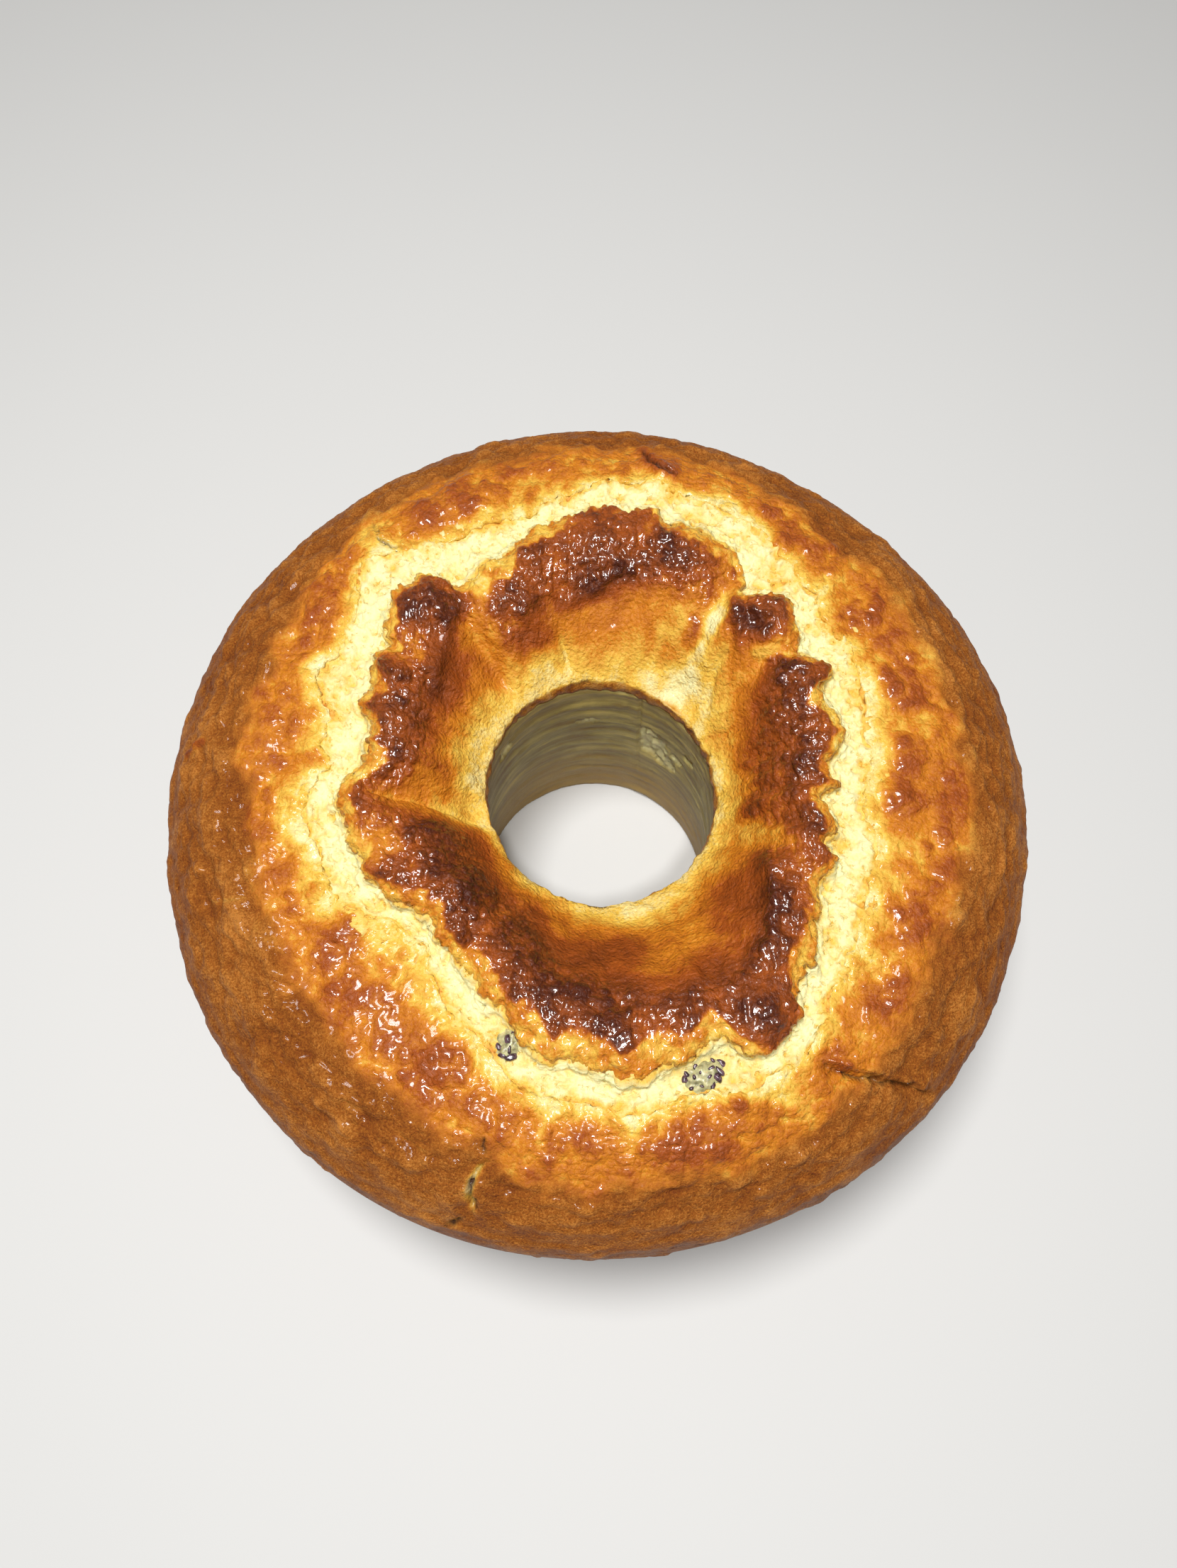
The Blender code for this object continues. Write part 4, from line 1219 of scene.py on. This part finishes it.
class CAKE_OT_side_crust(bpy.types.Operator):
    """Make the crust of the side wall and the base"""

    bl_idname = "cake.side_crust"
    bl_label = "Side wall and base"

    columns = 960
    wall_rows = 70
    # Turns of the rows of the rounded foot, in degrees.
    foot_turns = (22.5, 45.0, 67.5)
    # Pits and blisters, in two lots: how low and how high they are, their number and seed.
    dimple_lots = ((4.0, 69.0, 520, 9), (4.0, 69.0, 300, 10))

    def wall(self, angle, shares, back=0.0):
        """Rows of the side wall, from its edge at 0 to its foot at 1, moved back into the cake."""
        shares = np.reshape(shares, (-1, 1))
        edge = side_radius(angle)
        foot = BASE_RADIUS / SIDE_RADIUS * edge
        bulge = SIDE_BULGE * np.sin(math.pi * shares)
        return edge + (foot - edge) * shares + bulge - back, SIDE_HEIGHT * (1.0 - shares) + 0.0 * angle

    def base(self, angle, reaches, lift=0.0):
        """Rows of the base, from the hole at 0 to the foot of the wall at 1, lifted into the cake."""
        foot = BASE_RADIUS / SIDE_RADIUS * side_radius(angle)
        hole = hole_radius(0.0, angle)
        return hole + (foot - hole) * column_of(*reaches), lift + 0.0 * column_of(*reaches)

    def split(self, points):
        """The front crack where it runs down the side, which also carries its painted shadow: 1 in its
        middle and 0 beside it.
        """
        half_width, _, *places = SIDE_SPLIT
        slant = (SIDE_RADIUS - BASE_RADIUS) / SIDE_HEIGHT
        line = np.array([
            (*flat(turn, SIDE_RADIUS - slant * (SIDE_HEIGHT - height)), height) for turn, height in places
        ])
        away, along = line_distance(points + 0.3 * rough(points, 2.2, 51)[..., None], line)
        return falls_away(away, half_width) * np.clip((1.0 - along) * 3.0, 0.0, 1.0)

    def execute(self, context):
        angle = ring_angles(self.columns)
        shares = np.linspace(0.0, 1.0 - BASE_ROUNDING / SIDE_HEIGHT, self.wall_rows)
        turns = np.radians(column_of(*self.foot_turns))
        foot = BASE_RADIUS / SIDE_RADIUS * side_radius(angle)
        grid = Grid(angle, [
            self.wall(angle, shares),
            (foot - BASE_ROUNDING * (1.0 - np.cos(turns)), BASE_ROUNDING * (1.0 - np.sin(turns))),
            self.base(angle, (0.962, 0.9, 0.7, 0.45, 0.2, 0.06)),
            self.base(angle, (0.02,), 0.5),
            self.base(angle, (0.03,), 4.0),
            self.base(angle, (0.3, 0.9), 6.0),
            self.wall(angle, 0.5, 6.0),
            self.wall(angle, 0.0, 3.0),
        ])
        points = grid.points
        row = np.arange(len(points))
        below_edge = np.clip(row / 2.0, 0.0, 1.0)
        above_foot = np.clip((self.wall_rows - row) / 3.0, 0.0, 1.0)

        folds = matt_folds(points, 10.0, 147)
        pits = sum(dimples(points, *lot) for lot in self.dimple_lots)
        split = self.split(points)
        relief = blended(points, SIDE_SWELLINGS) + 0.7 * folds + 0.8 * pits - SIDE_SPLIT[1] * split
        low = 1.0 - ease(points[..., 2], 0.0, 30.0)
        # Swellings and blisters are made paler as a painted highlight and creases and pits browner as
        # painted shade; the crust is also browner towards the bottom.
        grid.marks = {
            "brown": 0.50 + 0.08 * rough(points, 16.0, 127) - 0.12 * folds - 0.1 * pits + 0.10 * low,
            "wrinkled": np.zeros_like(split),
            "matt": np.ones_like(split),
            "split": split,
        }
        grid.raise_by(relief * grid.by_row(below_edge * above_foot))
        return crust_piece(context, "side_crust", grid, "baked_crust", crust_finish)


class CAKE_OT_hole_wall(bpy.types.Operator):
    """Make the layered wall of the hole"""

    bl_idname = "cake.hole_wall"
    bl_label = "Wall of the hole"

    columns = 640
    row_count = 74
    lowest = 0.6
    # The wall ends this far below the rim, behind the band of the inner crust.
    below_rim = 6.5
    # Height of the layers as a share of their length round the hole.
    layer_share = 0.14

    def wall(self, angle, levels, out=0.0):
        """Rows of the wall at some heights, moved out into the cake."""
        level = column_of(*levels)
        lift = rim_tilt(angle, np.full_like(angle, RIM_RADIUS)) * (level / RIM_HEIGHT) ** 2
        return hole_radius(level, angle) + out, level + lift

    def tears(self, angle, points):
        """Where the wall's skin is torn off, from 0 to 1."""
        torn_off = np.zeros(points.shape[:-1])
        ragged = 0.5 * rough(points, 2.6, 173)
        for place, height, half_along, half_across in WALL_TEARS:
            u = round_from(angle, place, RIM_RADIUS) / half_along
            v = (points[..., 2] - height) / half_across
            torn_off = np.maximum(torn_off, 1.0 - ease(u * u + v * v - ragged, 0.7, 1.2))
        return torn_off

    def execute(self, context):
        angle = ring_angles(self.columns)
        levels = np.linspace(self.lowest, RIM_HEIGHT - self.below_rim, self.row_count)
        grid = Grid(angle, [
            self.wall(angle, (60.0, 12.0), 7.0),
            self.wall(angle, (0.05,), 5.0),
            self.wall(angle, (0.05,), 1.2),
            self.wall(angle, levels),
            self.wall(angle, (RIM_HEIGHT - 6.0,), 3.0),
        ])
        points = grid.points
        height = points[..., 2]
        seen = grid.by_row(np.zeros(4), np.ones(self.row_count), 0.0)

        torn_off = self.tears(angle, points)
        seam_angle, seam_turn, seam_half_width, seam_depth = WALL_SEAM
        seam = round_from(angle, seam_angle + seam_turn * height, RIM_RADIUS)
        relief = blended(points * np.array((self.layer_share, self.layer_share, 1.0)), WALL_LAYERS)
        relief += 0.10 * rough(points, 1.6, 169) + torn_off * (0.7 * rough(points, 2.0, 177) - 0.9)
        relief -= seam_depth * falls_away(seam, seam_half_width) * ease(height, 14.0, 40.0)
        grid.raise_by(relief * seen)
        grid.marks = {
            "torn": torn_off,
            "brown": 0.85 * (1.0 - ease(height - 4.0 * rough(points, 9.0, 179), 8.0, 50.0)),
        }
        return crust_piece(context, "hole_wall", grid, "layered_wall", wall_finish)


class CAKE_OT_fruit_bits(bpy.types.Operator):
    """Make the two bits of fruit pulp with their beads"""

    bl_idname = "cake.fruit_bits"
    bl_label = "Fruit bits"

    def add_bead(self, build, where, spot, radius, rng):
        """Adds a small lumpy bead that lies flat on the pulp."""
        stretch = Matrix.Diagonal((rng.uniform(1.2, 1.6), 0.85, 0.7, 1.0))
        lie = Matrix.Rotation(rng.uniform(0.0, math.pi), 4, "Z")
        matrix = where @ Matrix.Translation(spot) @ lie @ stretch
        made = bmesh.ops.create_icosphere(build, subdivisions=3, radius=radius, matrix=matrix)
        places = np.array([vert.co for vert in made["verts"]]) / MM
        lumpy = 1.0 + 0.25 * rough(places, 0.9, 187, 2)
        middle = where @ spot
        for vert, size in zip(made["verts"], lumpy):
            vert.co = middle + (vert.co - middle) * float(size)
            for face in vert.link_faces:
                face.material_index = 1

    def execute(self, context):
        colours = context.scene.cake_colours
        bead_radius = context.scene.cake_form.bead_size
        rng = np.random.default_rng(3)
        for name, (angle, _, half_sizes, turn) in FRUIT_BITS.items():
            low, high = (Vector(corner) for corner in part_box(name))
            centre = (low + high) / 2
            across = Vector((math.cos(math.radians(angle)), math.sin(math.radians(angle)), 0.0))
            up = Vector((0.0, 0.0, 1.0))
            axes = Matrix((up.cross(across), -across, up)).transposed().to_4x4()
            where = Matrix.Translation(centre) @ axes @ Matrix.Rotation(math.radians(turn), 4, "Z")
            build = bmesh.new()
            bmesh.ops.create_icosphere(build, subdivisions=5, radius=1.0)
            places = np.array([vert.co for vert in build.verts]) * np.array(half_sizes)
            swell = 0.96 + blended(places, PULP_SWELL)
            for vert, place, size in zip(build.verts, places, swell):
                vert.co = where @ (Vector(place) * MM * float(size))
            for x, y, share in BEADS[name]:
                lift = 0.97 * math.sqrt(max(0.0, 1.0 - x * x - y * y))
                spot = Vector((x * half_sizes[0], y * half_sizes[1], lift * half_sizes[2])) * MM
                self.add_bead(build, where, spot, bead_radius * share, rng)
            mesh = bpy.data.meshes.new(name + "_pulp")
            build.to_mesh(mesh)
            build.free()
            pulp = made_once("fruit_pulp", pulp_finish, colours)
            beads = made_once("fruit_bead", bead_finish, colours)
            finished(name + "_pulp", mesh, [pulp, beads], name)
        return {"FINISHED"}


class CAKE_OT_stage(bpy.types.Operator):
    """Make the floor, the lights and the camera"""

    bl_idname = "cake.stage"
    bl_label = "Floor, lights and camera"

    # Lengths are metres, apart from the lens and its sensor, and angles are degrees.
    floor_half_width = 3.0
    key_size = 0.28
    key_place = (-0.12, 0.02, 1.12)
    glint_size = 0.07
    glint_place = (0.02, -0.28, 0.95)
    lit_place = (0.0, 0.0, 0.09)
    sky_colour = (1.0, 0.99, 0.97, 1.0)
    # The camera, fitted to the photo and counted from the middle of the ring.
    camera_place = (-0.0026, -0.1147, 0.4002)
    camera_tilt = 69.8
    camera_roll = 1.4
    lens_mm = 27.05
    sensor_mm = 36.0
    nearest_seen = 0.02

    def execute(self, context):
        scene = context.scene
        settings = scene.cake_stage
        build = bmesh.new()
        bmesh.ops.create_grid(build, x_segments=4, y_segments=4, size=self.floor_half_width)
        mesh = bpy.data.meshes.new("floor")
        build.to_mesh(mesh)
        build.free()
        mesh.materials.append(floor_finish(settings.floor))
        floor = bpy.data.objects.new("floor", mesh)
        scene.collection.objects.link(floor)

        scene.view_settings.view_transform = "Standard"
        self.area_light(scene, "key", settings.key_power, self.key_size, self.key_place)
        self.area_light(scene, "glint", settings.glint_power, self.glint_size, self.glint_place)
        world = bpy.data.worlds.new("studio")
        world.use_nodes = True
        background = world.node_tree.nodes["Background"]
        background.inputs["Color"].default_value = self.sky_colour
        background.inputs["Strength"].default_value = settings.sky_strength
        scene.world = world

        self.camera(scene)
        return {"FINISHED"}

    def camera(self, scene):
        """Makes the camera at the photo's viewing angle."""
        data = bpy.data.cameras.new("camera")
        data.sensor_width = self.sensor_mm
        data.lens = self.lens_mm
        data.clip_start = self.nearest_seen
        camera = bpy.data.objects.new("camera", data)
        tilt = math.radians(self.camera_tilt)
        roll = math.radians(self.camera_roll)
        back = Vector((0.0, -math.cos(tilt), math.sin(tilt)))
        level = Vector((1.0, 0.0, 0.0))
        upright = back.cross(level)
        right = math.cos(roll) * level + math.sin(roll) * upright
        up = math.cos(roll) * upright - math.sin(roll) * level
        turned = Matrix((right, up, back)).transposed().to_4x4()
        place = Vector(self.camera_place) + Vector((*RING_SHIFT, 0.0)) * MM
        camera.matrix_world = Matrix.Translation(place) @ turned
        scene.collection.objects.link(camera)
        scene.camera = camera

    def area_light(self, scene, name, power, size, place):
        """Makes a round light that is aimed at the cake."""
        data = bpy.data.lights.new(name, "AREA")
        data.shape = "DISK"
        data.size = size
        data.energy = power
        lamp = bpy.data.objects.new(name, data)
        lamp.location = place
        aim = Vector(self.lit_place) - Vector(place)
        lamp.rotation_euler = aim.to_track_quat("-Z", "Y").to_euler()
        scene.collection.objects.link(lamp)


class CAKE_PT_panel(bpy.types.Panel):
    """The cake's settings and operators in the sidebar"""

    bl_label = "Ring pound cake"
    bl_idname = "CAKE_PT_panel"
    bl_space_type = "VIEW_3D"
    bl_region_type = "UI"
    bl_category = "Cake"

    def draw(self, context):
        for group_name, _ in SETTINGS:
            settings = getattr(context.scene, group_name)
            column = self.layout.column()
            for key in settings.__annotations__:
                column.prop(settings, key)
        for operator in OPERATORS:
            self.layout.operator(operator.bl_idname)


OPERATORS = (
    CAKE_OT_inner_crust, CAKE_OT_crumb, CAKE_OT_outer_crust, CAKE_OT_side_crust, CAKE_OT_hole_wall,
    CAKE_OT_fruit_bits, CAKE_OT_stage,
)
SETTINGS = (("cake_form", CakeForm), ("cake_colours", CakeColours), ("cake_stage", StageSettings))


def register():
    """Adds the settings, the operators and the panel."""
    for key, group in SETTINGS:
        bpy.utils.register_class(group)
        setattr(bpy.types.Scene, key, bpy.props.PointerProperty(type=group))
    for operator in OPERATORS:
        bpy.utils.register_class(operator)
    bpy.utils.register_class(CAKE_PT_panel)


def unregister():
    """Takes away what register added."""
    bpy.utils.unregister_class(CAKE_PT_panel)
    for operator in reversed(OPERATORS):
        bpy.utils.unregister_class(operator)
    for key, group in reversed(SETTINGS):
        delattr(bpy.types.Scene, key)
        bpy.utils.unregister_class(group)


def plain(box):
    """A box as plain lists of numbers."""
    return [[float(value) for value in corner] for corner in box]


def main():
    """Makes the whole scene."""
    register()
    bpy.ops.cake.inner_crust()
    bpy.ops.cake.crumb()
    bpy.ops.cake.outer_crust()
    bpy.ops.cake.side_crust()
    bpy.ops.cake.hole_wall()
    bpy.ops.cake.fruit_bits()
    bpy.ops.cake.stage()


if __name__ == "__main__":
    main()
